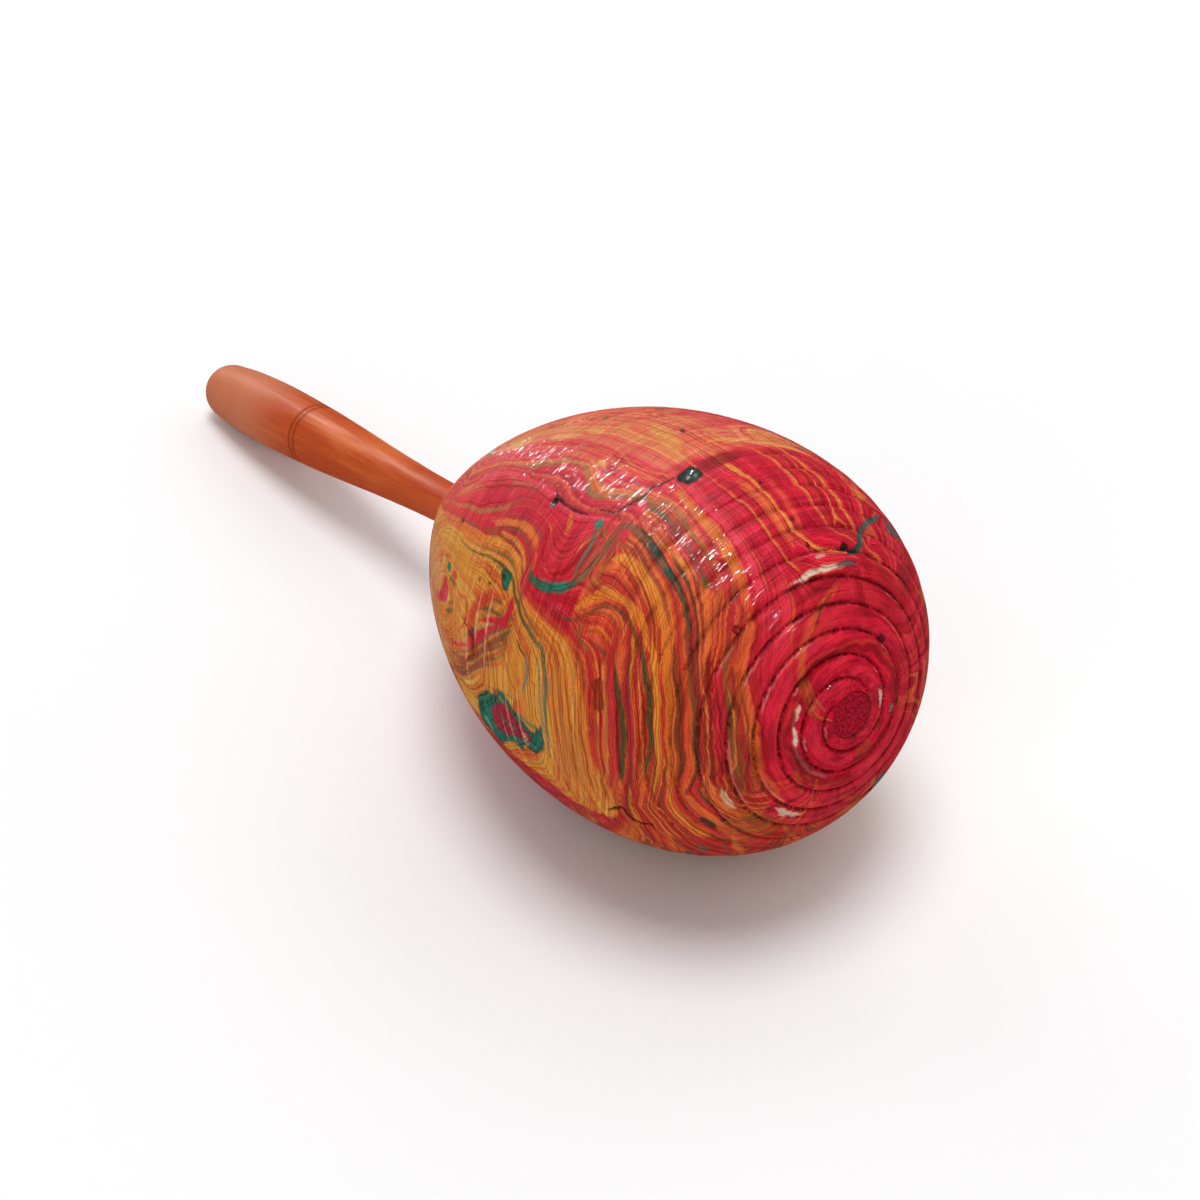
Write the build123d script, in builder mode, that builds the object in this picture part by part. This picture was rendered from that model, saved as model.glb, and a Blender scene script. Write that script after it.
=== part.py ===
from build123d import *
import math
import os

os.makedirs("parts", exist_ok=True)

# A maraca: a turned hollow head made as two glued halves, and one turned
# handle whose thin front end runs through the whole head and comes out flush
# at the nose. Loose round seeds lie on the floor of the hollow.
#
# Frame: millimetres, +Z up, the maraca lying on the floor z = 0 on its belly
# and on the butt of the handle. +X points from the butt to the nose.
# The origin is under the middle of the whole object.

# ---------------------------------------------------------------- dimensions
total_length = 250.0      # along the turning axis, nose to butt
tilt_deg = 10.9434        # the axis dips this much from nose to butt
nose_x, nose_z = 122.317, 53.228   # where the turning axis leaves the nose

rod_r = 4.75              # handle rod inside the head, and its end disc
glue_gap = 0.02           # glue film between glued faces
disc_u = 0.35             # the end disc sits this far behind the nose plane

head_end_u = 132.6        # neck end of the head
head_end_r = 5.6
split_u = 55.0            # outer seam between the two halves
tongue_len = 6.0          # length of the glued tongue
tongue_r = 40.2           # outer radius of the tongue

handle_cap_r = 7.12       # rounded butt
groove_u = 197.6          # pair of turned lines round the handle
groove_gap = 1.9
groove_depth = 0.28
groove_r = 7.72            # handle radius there
groove_half_width = 0.45

seed_r = 2.6

# Outer profile of the head as (distance from the nose, radius).
# The nose half carries wide turned bands: valleys between them and the
# highest point of each band.
band_valleys = [
    (1.224, 8.019), (2.287, 12.740), (3.861, 17.312), (5.959, 21.663),
    (8.583, 25.712), (11.717, 29.377), (15.309, 32.596), (19.247, 35.403),
    (23.515, 37.717), (28.024, 39.561), (32.708, 40.943),
]
band_crests = [
    (1.156, 10.515), (2.490, 15.228), (4.348, 19.758), (6.744, 24.029),
    (9.670, 27.955), (13.097, 31.453), (16.959, 34.461), (21.174, 36.955),
    (25.648, 38.946), (30.303, 40.472),
]
belly_points = [(35.074, 41.584), (40.0, 42.320), (45.15, 42.772), (50.1, 42.882)]
belly_seam = (split_u, 42.720)
rear_points = [
    (60.0, 42.292), (65.382, 41.539), (75.294, 39.353), (84.944, 36.205),
    (94.265, 32.184), (103.228, 27.417), (111.842, 22.042), (120.126, 16.171),
    (128.016, 9.784),
]

# Inner profile of the hollow: about 5 mm of wall, thicker at both ends.
cavity_front_u, cavity_front_r = 9.0, 14.0
cavity_front = [(13.0, 22.3), (20.0, 30.0), (30.0, 35.0), (40.0, 37.3), (50.0, 37.88)]
cavity_seam_r = 37.2
cavity_rear = [(70.0, 35.5), (80.0, 32.6), (90.0, 28.6), (100.0, 23.4), (110.0, 17.0)]
cavity_rear_u, cavity_rear_r = 120.0, 9.6

# Handle outside the head.
handle_points = [
    (141.0, 4.86), (150.2, 5.12), (165.7, 5.86), (181.1, 6.82), (196.6, 7.64),
    (212.0, 8.13),
]

# Resting centre of every seed (x, y, z), and how far it can rise straight up
# before it meets the rod or the roof of the hollow.
seed_table = [
    (45.77, -5.21, 9.932, 22.7),
    (45.77, 5.21, 9.932, 22.7),
    (48.72, 0.00, 8.971, 22.2),
    (51.67, -5.21, 8.983, 24.8),
    (51.67, 5.21, 8.983, 24.8),
    (54.62, -10.42, 9.934, 63.1),
    (54.62, 0.00, 8.221, 24.1),
    (54.62, 10.42, 9.934, 63.1),
    (57.57, -5.21, 8.383, 26.5),
    (57.57, 5.21, 8.383, 26.5),
    (60.52, -10.42, 9.451, 65.5),
    (60.52, 0.00, 7.803, 25.6),
    (60.52, 10.42, 9.451, 65.5),
    (63.47, -5.21, 8.116, 28.0),
    (63.47, 5.21, 8.116, 28.0),
    (66.42, -10.42, 9.334, 67.0),
    (66.42, 0.00, 7.725, 26.8),
    (66.42, 10.42, 9.334, 67.0),
    (69.37, -5.21, 8.239, 29.0),
    (69.37, 5.21, 8.239, 29.0),
    (72.32, -10.42, 9.686, 67.6),
    (72.32, 0.00, 8.089, 27.6),
    (72.32, 10.42, 9.686, 67.6),
    (75.27, -5.21, 8.841, 29.5),
    (75.27, 5.21, 8.841, 29.5),
    (78.22, 0.00, 8.912, 27.9),
    (81.17, -5.21, 9.866, 29.6),
    (81.17, 5.21, 9.866, 29.6),
]

# ------------------------------------------------------------------- frames
cos_t, sin_t = math.cos(math.radians(tilt_deg)), math.sin(math.radians(tilt_deg))
nose = Vector(nose_x, 0, nose_z)
along = Vector(-cos_t, 0, -sin_t)
lathe = Plane(origin=nose, x_dir=along, z_dir=(0, 1, 0))   # local x runs to the butt
turning_axis = Axis(nose, along)

tongue_u = split_u + tongue_len
bore_r = rod_r + glue_gap

# ---------------------------------------------------------- head, nose half
with BuildPart() as head_front_shell:
    with BuildSketch(lathe):
        with BuildLine():
            # ring round the end disc, then the turned bands
            start = (0.55, bore_r)
            ThreePointArc(start, (0.28, 6.45), band_valleys[0])
            for i, crest in enumerate(band_crests):
                ThreePointArc(band_valleys[i], crest, band_valleys[i + 1])
            Spline(band_valleys[-1], *belly_points, belly_seam)
            # stepped joint: a tongue under the seam
            Polyline(
                belly_seam,
                (split_u, tongue_r),
                (tongue_u, tongue_r),
                (tongue_u, cavity_seam_r),
            )
            Spline(
                (tongue_u, cavity_seam_r),
                *reversed(cavity_front),
                (cavity_front_u, cavity_front_r),
            )
            Polyline(
                (cavity_front_u, cavity_front_r), (cavity_front_u, bore_r), start
            )
        make_face()
    revolve(axis=turning_axis)
head_front_shell.part.label = "head_front_shell"
export_step(head_front_shell.part, "parts/head_front_shell.step")

# ---------------------------------------------------------- head, neck half
rear_split_u = split_u + glue_gap
rear_tongue_u = tongue_u + glue_gap
with BuildPart() as head_rear_shell:
    with BuildSketch(lathe):
        with BuildLine():
            seam_top = (rear_split_u, belly_seam[1])
            Spline(seam_top, *rear_points, (head_end_u, head_end_r))
            Polyline(
                (head_end_u, head_end_r),
                (head_end_u, bore_r),
                (cavity_rear_u, bore_r),
                (cavity_rear_u, cavity_rear_r),
            )
            Spline(
                (cavity_rear_u, cavity_rear_r),
                *reversed(cavity_rear),
                (rear_tongue_u, cavity_seam_r),
            )
            Polyline(
                (rear_tongue_u, cavity_seam_r),
                (rear_tongue_u, tongue_r + glue_gap),
                (rear_split_u, tongue_r + glue_gap),
                seam_top,
            )
        make_face()
    revolve(axis=turning_axis)
head_rear_shell.part.label = "head_rear_shell"
export_step(head_rear_shell.part, "parts/head_rear_shell.step")

# ------------------------------------- handle, one turned stick nose to butt
cap_u = total_length - handle_cap_r
with BuildPart() as handle:
    with BuildSketch(lathe):
        with BuildLine():
            Polyline(
                (disc_u, 0), (disc_u, rod_r - 0.25), (disc_u + 0.25, rod_r),
                (head_end_u + 1.2, rod_r),
            )
            Spline(
                (head_end_u + 1.2, rod_r),
                *handle_points,
                (220.0, 8.24), (228.0, 8.13), (236.0, 7.76), (cap_u, handle_cap_r),
            )
            ThreePointArc(
                (cap_u, handle_cap_r),
                (
                    cap_u + handle_cap_r * math.sin(math.radians(45)),
                    handle_cap_r * math.cos(math.radians(45)),
                ),
                (total_length, 0),
            )
            Line((total_length, 0), (disc_u, 0))
        make_face()
    revolve(axis=turning_axis)
    # two fine lines cut round the handle
    with BuildSketch(lathe):
        for centre in (groove_u, groove_u + groove_gap):
            with BuildLine():
                Polyline(
                    (centre - groove_half_width, groove_r + 0.4),
                    (centre, groove_r - groove_depth),
                    (centre + groove_half_width, groove_r + 0.4),
                    close=True,
                )
            make_face()
    revolve(axis=turning_axis, mode=Mode.SUBTRACT)
handle.part.label = "handle"
export_step(handle.part, "parts/handle.step")

# -------------------------------------------------------------- loose seeds
for number, (x, y, z, rise) in enumerate(seed_table, start=1):
    with BuildPart(Plane(origin=(x, y, z))) as seed:
        Sphere(radius=seed_r)
    seed.part.label = f"seed_{number:02d}"
    export_step(seed.part, f"parts/seed_{number:02d}.step")
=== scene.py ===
import math

import bpy
import numpy as np
from mathutils import Matrix, Vector


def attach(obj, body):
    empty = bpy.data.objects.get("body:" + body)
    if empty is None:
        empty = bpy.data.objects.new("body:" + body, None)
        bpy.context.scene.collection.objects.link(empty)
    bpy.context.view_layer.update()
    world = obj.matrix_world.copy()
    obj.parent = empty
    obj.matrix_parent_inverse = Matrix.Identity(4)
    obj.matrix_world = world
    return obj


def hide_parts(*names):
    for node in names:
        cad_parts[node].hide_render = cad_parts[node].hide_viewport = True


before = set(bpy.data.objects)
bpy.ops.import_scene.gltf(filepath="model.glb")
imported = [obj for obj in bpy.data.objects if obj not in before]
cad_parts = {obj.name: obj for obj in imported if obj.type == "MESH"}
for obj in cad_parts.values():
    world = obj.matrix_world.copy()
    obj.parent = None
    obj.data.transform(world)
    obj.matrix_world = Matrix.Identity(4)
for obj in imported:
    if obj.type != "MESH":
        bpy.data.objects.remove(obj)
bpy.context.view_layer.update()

# ------------------------------------------------------------------ geometry
# Lathe frame of the part, the same numbers as in the CAD: the turning axis
# leaves the nose at NOSE and runs to the butt along ALONG. Millimetres here.
TILT = math.radians(10.9434)
NOSE = np.array([122.317, 0.0, 53.228])
ALONG = np.array([-math.cos(TILT), 0.0, -math.sin(TILT)])
UPWARD = np.array([-math.sin(TILT), 0.0, math.cos(TILT)])
SIDE = np.array([0.0, 1.0, 0.0])

HEAD_LEN, HEAD_R = 134.7785, 39.53437
HEAD_K = (0.3223826, -0.0832559, 0.1999126, 0.0092392, -0.0375316)
ROD_R = 4.75
HEAD_END_U = 132.6
SEAM_U = 55.0


def head_profile(th):
    c = np.cos(th)
    g = (1 + HEAD_K[0] * c + HEAD_K[1] * (c * c - 0.5) + HEAD_K[2] * c**3
         + HEAD_K[3] * c**4 + HEAD_K[4] * c**5)
    return HEAD_LEN / 2 * (1 - c), HEAD_R * np.sin(th) * g


_th = np.linspace(0, math.pi * 0.985, 6000)
PU, PR = head_profile(_th)
PS = np.concatenate([[0], np.cumsum(np.hypot(np.diff(PU), np.diff(PR)))])
_du, _dr = np.gradient(PU, PS), np.gradient(PR, PS)
PNU, PNR = -_dr, _du          # outward normal in (u, r)
S_START = float(np.interp(ROD_R + 0.03, PR[:2500], PS[:2500]))
S_SEAM = float(np.interp(SEAM_U, PU, PS))
S_END = float(np.interp(HEAD_END_U, PU, PS))


def place(u, r, f):
    """(u, r, angle) to metres in the row frame; f in radians, 0 is up."""
    u, r, f = np.broadcast_arrays(u, r, f)
    p = (NOSE + u[..., None] * ALONG
         + (r * np.cos(f))[..., None] * UPWARD + (r * np.sin(f))[..., None] * SIDE)
    return p / 1000.0


def smoothstep(a, b, x):
    t = np.clip((x - a) / (b - a), 0, 1)
    return t * t * (3 - 2 * t)


# --------------------------------------------------------------- smooth noise
def value_noise(x, y, seed, period_x=None):
    """Smooth noise in -1..1 on a unit lattice; x may repeat every period_x cells."""
    rng = np.random.default_rng(seed)
    nx = int(period_x) if period_x else 257
    table = rng.uniform(-1, 1, (nx, 263))
    xi, yi = np.floor(x).astype(np.int64), np.floor(y).astype(np.int64)
    tx, ty = x - xi, y - yi
    tx, ty = tx * tx * (3 - 2 * tx), ty * ty * (3 - 2 * ty)
    a, b = table[xi % nx, yi % 263], table[(xi + 1) % nx, yi % 263]
    c, d = table[xi % nx, (yi + 1) % 263], table[(xi + 1) % nx, (yi + 1) % 263]
    return (a * (1 - tx) + b * tx) * (1 - ty) + (c * (1 - tx) + d * tx) * ty


def noise_sf(s, f, cell_s, cells_f, seed, octaves=3):
    """Noise over the head: cell_s in mm along s, cells_f cells round the axis."""
    out, amp, tot = 0.0, 1.0, 0.0
    for o in range(octaves):
        k = 2**o
        out = out + amp * value_noise((f + 180) / 360 * cells_f * k, s / cell_s * k, seed + 17 * o, cells_f * k)
        tot += amp
        amp *= 0.55
    return out / tot


# ------------------------------------------------------------------- ridges
CREST_S = np.array([-4.6, 0.6, 5.4, 10.0, 14.7, 19.5, 24.5, 29.9, 35.0, 40.1, 45.4, 50.9, 56.0, 61.2, 66.4, 71.6, 76.8, 82.0])


def ridge_phase(s, f):
    fr = np.radians(f)
    k = np.interp(s, CREST_S, np.arange(len(CREST_S)) - 1.0)
    k = np.where(s > CREST_S[-1], len(CREST_S) - 2.0 + (s - CREST_S[-1]) / 5.2, k)
    return k + 2 * f / 360 + 1.3 * np.sin(fr) / 5.1


# -------------------------------------------------------------------- paint
# The marbled wood is many thin dyed layers cut by the lathe. A smooth layer
# field is solved over the surface from a few drawn guide lines, the layers are
# coloured along it, and the drawn features go on top. Surface coordinates:
# s in mm from the nose along the outline, f in degrees round the axis, 0 up.
FS = 0.75                     # mm to a degree, a middling scale for drawing


def rgb(h):
    h = h.lstrip("#")
    return np.array([int(h[i:i + 2], 16) / 255 for i in (0, 2, 4)])


def curve(points, steps=9):
    """A smooth line through the points."""
    p = np.asarray(points, float)
    if len(p) < 3:
        t = np.linspace(0, 1, 6)[:, None]
        return p[0] * (1 - t) + p[-1] * t
    q = np.vstack([2 * p[0] - p[1], p, 2 * p[-1] - p[-2]])
    out = []
    for i in range(1, len(q) - 2):
        a, b, c, d = q[i - 1], q[i], q[i + 1], q[i + 2]
        for t in np.linspace(0, 1, steps, endpoint=False):
            out.append(0.5 * (2 * b + (c - a) * t + (2 * a - 5 * b + 4 * c - d) * t * t
                              + (3 * b - a - 3 * c + d) * t**3))
    out.append(p[-1])
    return np.array(out)


# guide lines: layer number (about mm of wood depth), then points (s, f)
GUIDES = [
    (14, [(3.5, -95), (5, -80), (9, -68), (10.5, -58), (13.5, -45), (15.5, -37), (18, -25), (20, -15), (22, -5), (24, 5), (25, 12), (28, 24)]),
    (11, [(3, -150), (3, -120), (3.2, -100)]),
    (20, [(22.5, -116), (20.5, -105), (20, -95), (20.3, -82), (21.5, -70), (23.5, -62), (25.5, -52), (27, -42), (28, -35), (29.5, -32),
          (31, -27), (33, -22.5), (36, -19), (40, -17), (45, -15.5), (50, -15), (55, -13), (60, -12), (70, -13), (80, -13), (95, -14), (108, -18), (120, -25)]),
    (25, [(26.5, -116), (25.2, -105), (25, -80), (26, -68), (28, -60), (29, -50), (31, -42), (33, -34), (36, -28), (39, -24), (45, -20.5), (52, -18.5)]),
    (28, [(30, -112), (28.3, -104), (28, -85), (29, -70), (30.5, -60), (32, -50), (34, -40), (37, -31), (39, -28), (42, -26), (45, -24), (49, -22.5),
          (52, -21), (55, -19.5), (58, -21), (61, -22), (64, -23), (66, -24), (68, -26), (70, -27.5), (73, -27.5), (76, -25), (79, -22.5),
          (83, -21), (86, -21), (88, -22), (89.5, -24), (93, -24.5), (93.5, -27), (97, -26.5), (105, -27), (115, -29), (126, -33)]),
    (31, [(35.5, -107), (33, -102), (31.3, -95), (31, -85), (31.5, -70), (33.5, -60), (36, -52), (38, -47), (39, -43), (42, -38), (46, -36),
          (50, -33.5), (53, -31.5), (57, -30.5), (60, -31), (64, -33)]),
    (36.5, [(42, -112), (39, -104), (37, -95), (36.5, -85), (37, -72), (38.5, -62), (40, -54), (42.5, -47), (46, -41), (50, -37.5), (54, -35), (58, -34), (61, -37)]),
    (40, [(46, -112), (42, -100), (40, -88), (39.8, -80), (40.5, -72), (42, -66), (43, -60), (45, -53), (48, -47), (52, -43), (56, -41), (59, -44)]),
    (45, [(50, -110), (47, -100), (45.5, -93), (44.8, -86), (45.3, -80), (46.3, -74), (47, -64), (48.5, -55), (51, -51), (55, -50), (58, -54)]),
    (49, [(52, -106), (49.6, -98), (49, -86), (49.3, -76), (50, -66), (52, -59), (55, -57), (57.5, -61)]),
    (53, [(57, -112), (54, -103), (53, -92), (53, -80), (54, -70), (56, -66), (60, -63), (66, -60), (72, -58.5)]),
    (58, [(63, -116), (59, -104), (58, -92), (58, -80), (59, -72), (63, -66), (70, -62), (75, -60)]),
    (63.5, [(68, -108), (64.5, -98), (64, -92), (63.5, -80), (64, -75), (65, -71), (66, -69), (68, -68), (70.5, -66), (73, -64.5), (75, -62),
            (77, -60), (79, -57), (82, -55), (85, -54.2), (90, -54), (95, -55), (100, -55.5), (106, -54.5), (120, -54)]),
    (67, [(78, -107), (72, -103.5), (67.5, -99), (66, -94), (66.5, -88), (67, -80), (68, -75), (71, -70), (75, -65.5), (79, -61), (84, -58), (92, -57.5), (104, -58.5), (120, -58)]),
    (72, [(77, -98), (72, -94), (71, -88), (71.5, -80), (74, -74), (78, -69), (83, -66), (90, -64), (100, -62.5), (110, -61)]),
    (78, [(92, -104), (86, -99), (81, -93), (77, -87), (76, -80), (80, -75), (86, -71.5), (94, -69), (101, -66)]),
    (84, [(110, -92), (100, -92), (92, -87), (88, -80), (89, -77), (94, -74.5), (100, -72)]),
    (90, [(122, -84), (112, -86), (104, -84), (100, -80), (101, -77)]),
    (96, [(113, -75), (109, -71.5), (105, -71.5), (103.5, -73.5), (106, -76.5), (111, -78)]),
    (57, [(75, -54.5), (79, -52), (83, -50.2), (90, -49.5), (100, -50), (115, -50), (138, -51)]),
    (52, [(75, -50), (79, -46.5), (83, -45), (88, -45.5), (92, -47), (100, -47.5), (115, -48), (138, -48)]),
    (45, [(76, -45), (79, -42.5), (83, -42), (90, -43), (98, -44.5), (110, -46), (128, -46.5)]),
    (38, [(88.5, -36), (91, -38), (94, -40.5), (98, -42.5), (103, -43.8), (110, -44.2), (118, -44.8), (128, -45)]),
    (44, [(60, -31), (60.5, -38), (61, -45), (62.5, -49), (64.5, -52), (67, -53.5), (70, -54.5), (73, -54), (75, -53)]),
    (41, [(64, -34), (64.3, -42), (65.5, -48), (68, -50.5), (71, -50.5), (74, -48), (76, -42)]),
    (34, [(62, -31), (68, -33), (75, -34), (82, -32), (90, -31), (100, -30), (115, -32)]),
    (10, [(32, -2), (38, -1), (45, 0), (52, -2), (60, -3), (70, -2), (82, -2), (95, -4), (110, -10), (118, -14)]),
    (5, [(35, 8), (50, 9), (60, 10), (66, 7), (75, 8), (90, 6), (100, 3)]),
    (0, [(36, 20), (45, 22), (58, 20), (63, 14), (70, 16), (84, 15)]),
    (-6, [(33, 33), (45, 38), (55, 40), (60, 28), (68, 25)]),
    (-12, [(30, 50), (38, 52), (45, 56)]),
]


_FIELD = []


def layer_field():
    """Layer number over the head, on a 0.75 mm by 1 degree lattice, periodic round the axis."""
    if not _FIELD:
        _FIELD.append(solve_layers())
    return _FIELD[0]


def solve_layers():
    ns, nf = 236, 360
    fixed = np.zeros((ns, nf), bool)
    value = np.zeros((ns, nf))
    for number, pts in GUIDES:
        c = curve(pts, 24)
        i = np.clip(np.round(c[:, 0] / 0.75).astype(int), 0, ns - 1)
        j = np.round(c[:, 1]).astype(int) % nf
        fixed[i, j] = True
        value[i, j] = number
    # start from a rough guess, then relax
    known = np.argwhere(fixed)
    kv = value[fixed]
    gi, gj = np.meshgrid(np.arange(ns), np.arange(nf), indexing="ij")
    field = np.full((ns, nf), 30.0)
    wsum = np.zeros((ns, nf))
    acc = np.zeros((ns, nf))
    for (a, b), v in zip(known[::7], kv[::7]):
        dj = np.abs(gj - b)
        dj = np.minimum(dj, nf - dj)
        w = 1.0 / (4 + (0.75 * (gi - a))**2 + (0.75 * dj)**2)**1.6
        acc += w * v
        wsum += w
    field = acc / wsum
    # a gentle pull to invented marbling where nothing is drawn
    fdeg = ((gj + 180) % 360) - 180.0
    wild = 34 + 46 * noise_sf(gi * 0.75, fdeg, 34.0, 5, 501, 3)
    near = np.sqrt(1 / np.maximum(wsum, 1e-9))
    pull = 0.02 * smoothstep(np.percentile(near, 45), np.percentile(near, 80), near)
    field[fixed] = value[fixed]
    parity = (gi + gj) % 2 == 0
    for it in range(900):
        for par in (parity, ~parity):
            up = np.vstack([field[1:], field[-1:]])
            dn = np.vstack([field[:1], field[:-1]])
            lf, rt = np.roll(field, 1, 1), np.roll(field, -1, 1)
            new = 0.25 * (up + dn + lf + rt) * (1 - pull) + wild * pull
            m = par & ~fixed
            field[m] = field[m] + 1.7 * (new[m] - field[m])
    return field


def read_lattice(field, s, f):
    x = np.clip(s / 0.75, 0, field.shape[0] - 1.001)
    y = f % 360
    i, j = x.astype(int), y.astype(int)
    tx, ty = x - i, y - j
    j, j2 = j % 360, (j + 1) % 360
    return ((field[i, j] * (1 - tx) + field[i + 1, j] * tx) * (1 - ty)
            + (field[i, j2] * (1 - tx) + field[i + 1, j2] * tx) * ty)


def plies(seed, colours, lo=-80, hi=190, mean=1.2, step=0.04, soft=3):
    """A line of random dyed layers: colours are (hex, weight, width factor)."""
    rng = np.random.default_rng(seed)
    n = int((hi - lo) / step)
    w = np.array([c[1] for c in colours], float)
    line = np.zeros((n, 3))
    i, last = 0, -1
    while i < n:
        k = int(rng.choice(len(colours), p=w / w.sum()))
        if k == last:
            k = int(rng.choice(len(colours), p=w / w.sum()))
        last = k
        width = max(3, int(mean * colours[k][2] * rng.gamma(2.2, 0.45) / step))
        line[i:i + width] = rgb(colours[k][0]) * rng.uniform(0.93, 1.06)
        i += width
    # softer copies of the line, for places where the layers run close together
    levels = []
    for width in (soft, 8, 16, 32, 64):
        ker = np.ones(width) / width
        levels.append(np.stack([np.convolve(np.convolve(line[:, ch], ker, "same"), ker, "same") for ch in range(3)], 1))
    levels = np.stack(levels)

    def look(t, rate):
        x = np.clip((t - lo) / step, 0, n - 2)
        a = x.astype(int)
        fr = (x - a)[..., None]
        level = np.clip(np.log2(np.maximum(rate, 1e-3) / 0.24), 0, len(levels) - 1.001)
        k = level.astype(int)
        kf = (level - k)[..., None]
        near = levels[k, a] * (1 - fr) + levels[k, a + 1] * fr
        far = levels[k + 1, a] * (1 - fr) + levels[k + 1, a + 1] * fr
        return near * (1 - kf) + far * kf
    return look


def per_cell(t):
    """How much t changes from one grid point to the next."""
    down = np.abs(np.gradient(t, axis=0))
    across = np.abs(np.roll(t, -1, 1) - np.roll(t, 1, 1)) * 0.5
    return np.maximum(down, across)


class Canvas:
    def __init__(self, s, f):
        self.s, self.f = s, f
        # a hand's wobble on everything drawn, so no edge is mechanical
        self.x = s + 0.34 * noise_sf(s, f, 5.0, 70, 11, 2) + 0.05 * noise_sf(s, f, 0.9, 400, 12, 1)
        self.y = (f + 0.50 * noise_sf(s, f, 5.0, 70, 21, 2) + 0.08 * noise_sf(s, f, 0.9, 400, 22, 1)) * FS
        self.c = np.zeros(s.shape + (3,))
        self.flow = np.zeros(s.shape)

    def box(self, pts, pad):
        """Part of the grid near the points; f is wrapped about their middle."""
        p = np.asarray(pts, float)
        mid = 0.5 * (p[:, 1].min() + p[:, 1].max())
        fw = ((self.y / FS - mid + 180) % 360) - 180 + mid
        m = ((self.x > p[:, 0].min() - pad) & (self.x < p[:, 0].max() + pad)
             & (fw > p[:, 1].min() - pad / FS) & (fw < p[:, 1].max() + pad / FS))
        idx = np.nonzero(m)
        return idx, self.x[idx], fw[idx] * FS

    def line_distance(self, x, y, c, widths=None):
        """Distance to the line, and the line's half width where it is nearest."""
        best = np.full(x.shape, 1e9)
        wbest = np.zeros(x.shape)
        tbest = np.zeros(x.shape)
        n = len(c) - 1
        for k in range(n):
            a, b = c[k], c[k + 1]
            ax, ay, bx, by = a[0], a[1] * FS, b[0], b[1] * FS
            dx, dy = bx - ax, by - ay
            L = dx * dx + dy * dy + 1e-12
            t = np.clip(((x - ax) * dx + (y - ay) * dy) / L, 0, 1)
            d = (x - ax - t * dx)**2 + (y - ay - t * dy)**2
            m = d < best
            best[m] = d[m]
            tbest[m] = (k + t[m]) / n
            if widths is not None:
                wbest[m] = (widths[k] * (1 - t) + widths[k + 1] * t)[m]
        return np.sqrt(best), wbest, tbest

    def put(self, idx, a, col):
        self.c[idx] = self.c[idx] * (1 - a[:, None]) + col * a[:, None]

    def line(self, pts, w, col, soft=0.2, op=1.0, rough=0.16, taper=0.12, seed=0):
        """A drawn streak: half width w in mm (one, or one for each point)."""
        c = curve(pts, 7)
        soft = max(soft, ROW_STEP * 0.6)
        wid = np.atleast_1d(np.asarray(w, float))
        wid = np.interp(np.linspace(0, 1, len(c)), np.linspace(0, 1, max(2, len(wid))), wid if len(wid) > 1 else np.repeat(wid, 2))
        idx, x, y = self.box(c, wid.max() + soft * 2 + 0.5)
        if len(x) == 0:
            return
        d, ww, t = self.line_distance(x, y, c, wid)
        if rough:
            q = noise_sf(self.s[idx], self.f[idx], 3.0, 110, 700 + seed, 2)
            ww = ww * (1 + rough * q)
        if taper:
            ww = ww * np.clip(np.minimum(t, 1 - t) / taper + 0.25, 0, 1)
        a = op * (1 - smoothstep(-soft, soft, d - ww))
        cols = col if isinstance(col, (list, tuple)) else [col]
        if len(cols) == 1:
            colour = rgb(cols[0])
        else:
            stops = np.array([rgb(k) for k in cols])
            pos = np.linspace(0, 1, len(cols))
            colour = np.stack([np.interp(t, pos, stops[:, ch]) for ch in range(3)], 1)
        self.put(idx, a, colour)

    def blob(self, poly, col, soft=0.4, op=1.0, edge=None, edge_w=0.35, edge_op=0.8, streak=0.0):
        """A drawn area with an optional darker outline."""
        c = curve(list(poly) + [poly[0]], 6)
        idx, x, y = self.box(c, soft * 2 + edge_w + 0.5)
        if len(x) == 0:
            return
        inside = np.zeros(x.shape, bool)
        for k in range(len(c) - 1):
            ax, ay, bx, by = c[k][0], c[k][1] * FS, c[k + 1][0], c[k + 1][1] * FS
            cross = (ay > y) != (by > y)
            with np.errstate(divide="ignore", invalid="ignore"):
                xx = ax + (y - ay) / (by - ay) * (bx - ax)
            inside ^= cross & (x < xx)
        d, _, _ = self.line_distance(x, y, c)
        sd = np.where(inside, -d, d)
        a = op * (1 - smoothstep(-soft, soft, sd))
        colour = rgb(col) if isinstance(col, str) else col(idx)
        self.put(idx, a, colour)
        if edge is not None:
            e = edge_op * (1 - smoothstep(edge_w * 0.4, edge_w, d))
            self.put(idx, e, rgb(edge))


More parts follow.
